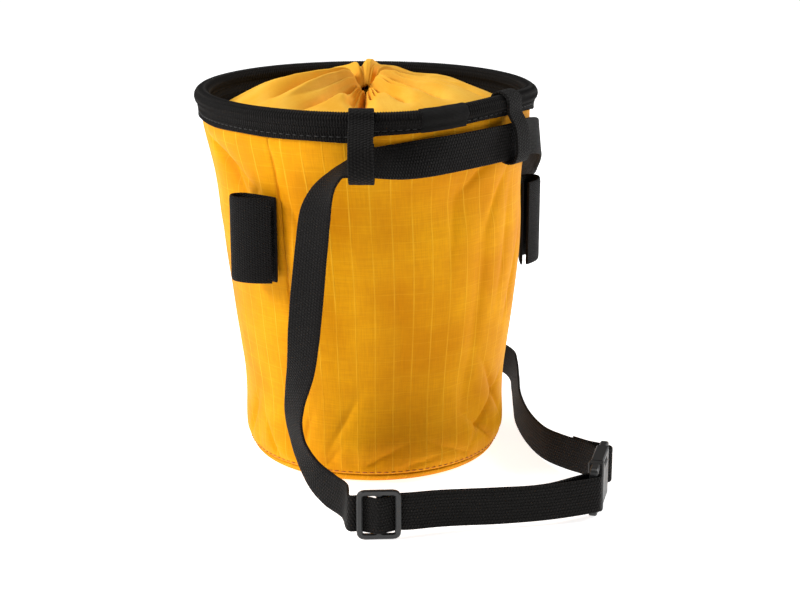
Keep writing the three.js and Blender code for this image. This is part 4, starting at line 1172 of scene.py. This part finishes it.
def beside(stations, distance):
    moved = []
    for i, (point, across) in enumerate(stations):
        ahead = stations[min(i + 1, len(stations) - 1)][0]
        behind = stations[max(i - 1, 0)][0]
        run = (ahead - behind) * np.array([1, 1, 0])
        run /= np.linalg.norm(run)
        moved.append((point + distance * np.array([run[1], -run[0], 0]), across))
    return moved


def belt_stations():
    back = [belt_station(row) for row in BELT_BACK]
    tack_run = back[1][0] - back[0][0]
    tack_end = back[0][0] + tack_run * BACK_TACK / np.linalg.norm(tack_run)
    tack = beside([(tack_end, DOWN), (back[0][0], DOWN)], -1.2 * LAYER)
    doubled = [belt_station(row) for row in BELT_DOUBLED]
    front = beside(doubled, LAYER / 2)
    behind = beside(doubled, -LAYER / 2)[::-1]
    off_behind = SLIDER_THICKNESS / 2 + BELT_THICKNESS / 2 + GAP + LAYER
    ends = [
        (spot_point(SLIDER_SPOT, SLIDER_LENGTH / 2 + 2 * MM, -off_behind), DOWN),
        (spot_point(SLIDER_SPOT, 0, -off_behind), DOWN),
    ]
    return [
        *tack, *bar_turn(1, BACK_STRAP_HEADING)[::-1], *back,
        *[belt_station(row) for row in BELT_FRONT],
        *slider_weave(), *front, *bar_turn(-1, FRONT_STRAP_HEADING), *behind, *ends,
    ]


belt = band("belt_webbing", belt_stations(), BELT_WIDTH, BELT_THICKNESS, BELT_STEP)
dress(belt, "webbing", "webbing_black", "belt_strap")


def box_stitches(name, stations, width, thickness, start):
    """A sewn box with a cross in it on the face of a band, from a length along the band."""
    at, centres, side, face = band_frames(stations, ROUTE_STEP)
    half = width / 2 - BOX_INSET
    corners = [(0, -1), (1, -1), (1, 1), (0, 1), (0, -1), (1, 1), (0, 1), (1, -1)]
    route = []
    normals = []
    for (a0, s0), (a1, s1) in zip(corners, corners[1:]):
        for t in np.linspace(0, 1, BOX_STEPS, endpoint=False):
            run = start + mix(a0, a1, t) * BOX_LENGTH
            spot, aside, out = (row_at(field, at, run) for field in (centres, side, face))
            route.append(spot + aside * mix(s0, s1, t) * half + out * thickness / 2)
            normals.append(out)
    return stitch_row(name, route, normals, pitch=BOX_STITCH_PITCH, length=BOX_STITCH_LENGTH)


def buckle_run():
    doubled = [belt_station(row) for row in BELT_DOUBLED]
    front = beside(doubled, LAYER / 2)
    return [*front, bar_turn(-1, FRONT_STRAP_HEADING)[0]]


run_length = band_frames(buckle_run(), ROUTE_STEP)[0][-1]
box_start = run_length - BOX_LENGTH - BOX_FROM_BUCKLE
sewn_end = box_stitches("belt_end_stitches", buckle_run(), BELT_WIDTH, BELT_THICKNESS, box_start)
dress(sewn_end, "black_thread", "webbing_black")


# Slider and buckle: the solids, with softened edges

for node in ("slider", "buckle_socket", "buckle_plug"):
    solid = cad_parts[node]
    solid.data.materials.clear()
    solid.data.materials.append(LOOKS["plastic"])
    edges = solid.modifiers.new("soft_edges", "BEVEL")
    edges.width = EDGE_SOFTNESS
    edges.segments = 3
    edges.limit_method = "ANGLE"
    edges.harden_normals = True


# Floor, light and camera

FLOOR_GLOW = 0.83
FLOOR_REACH = 6.0
FLOOR_SINK = 0.05 * MM
FLOOR_WHITE = (0.93, 0.93, 0.93)


def floor():
    corners = [(x * FLOOR_REACH, y * FLOOR_REACH, 0) for x, y in ((-1, -1), (1, -1), (1, 1), (-1, 1))]
    sheet = mesh_object("floor", corners, [(0, 1, 2, 3)], smooth_shaded=False)
    material, _, shader = start_material("floor_white", FLOOR_WHITE, 0.9)
    shader.inputs["Specular IOR Level"].default_value = 0.1
    shader.inputs["Emission Color"].default_value = (1, 1, 1, 1)
    shader.inputs["Emission Strength"].default_value = FLOOR_GLOW
    sheet.data.materials.append(material)
    sheet.location.z = -FLOOR_SINK


def area_light(name, place, size, power):
    light = bpy.data.lights.new(name, "AREA")
    light.shape = "DISK"
    light.size = size
    light.energy = power
    obj = bpy.data.objects.new(name, light)
    obj.location = place
    direction = Vector(LIGHT_AIM) - Vector(place)
    obj.rotation_euler = direction.to_track_quat("-Z", "Y").to_euler()
    bpy.context.scene.collection.objects.link(obj)


def world_light(strength):
    world = bpy.data.worlds.new("studio")
    world.use_nodes = True
    background = world.node_tree.nodes["Background"]
    background.inputs["Color"].default_value = (1, 1, 1, 1)
    background.inputs["Strength"].default_value = strength
    bpy.context.scene.world = world


# Lights: name, place, size in metres and power in watts, all aimed at one point
LIGHT_AIM = (0, 0, 0.10)
LIGHTS = [
    ("left", (-1.0, 0.24, 0.68), 0.42, 11),
    ("right", (0.90, -0.22, 0.50), 0.45, 5.6),
    ("top", (-0.15, 0.35, 1.2), 0.6, 6),
]
WORLD_STRENGTH = 0.165

# Camera place, the way it looks, and its lens
CAMERA_PLACE = (-0.3645, -0.6291, 0.275)
CAMERA_LOOK = (0.4948, 0.8236, -0.2773)
CAMERA_LENS = 77.0


def camera():
    data = bpy.data.cameras.new("photo_view")
    data.lens = CAMERA_LENS
    data.sensor_width = 36
    data.clip_start = 0.01
    obj = bpy.data.objects.new("photo_view", data)
    obj.location = CAMERA_PLACE
    obj.rotation_euler = Vector(CAMERA_LOOK).to_track_quat("-Z", "Y").to_euler()
    bpy.context.scene.collection.objects.link(obj)
    bpy.context.scene.camera = obj


floor()
for light in LIGHTS:
    area_light(*light)
world_light(WORLD_STRENGTH)
camera()
bpy.context.scene.view_settings.view_transform = "Standard"
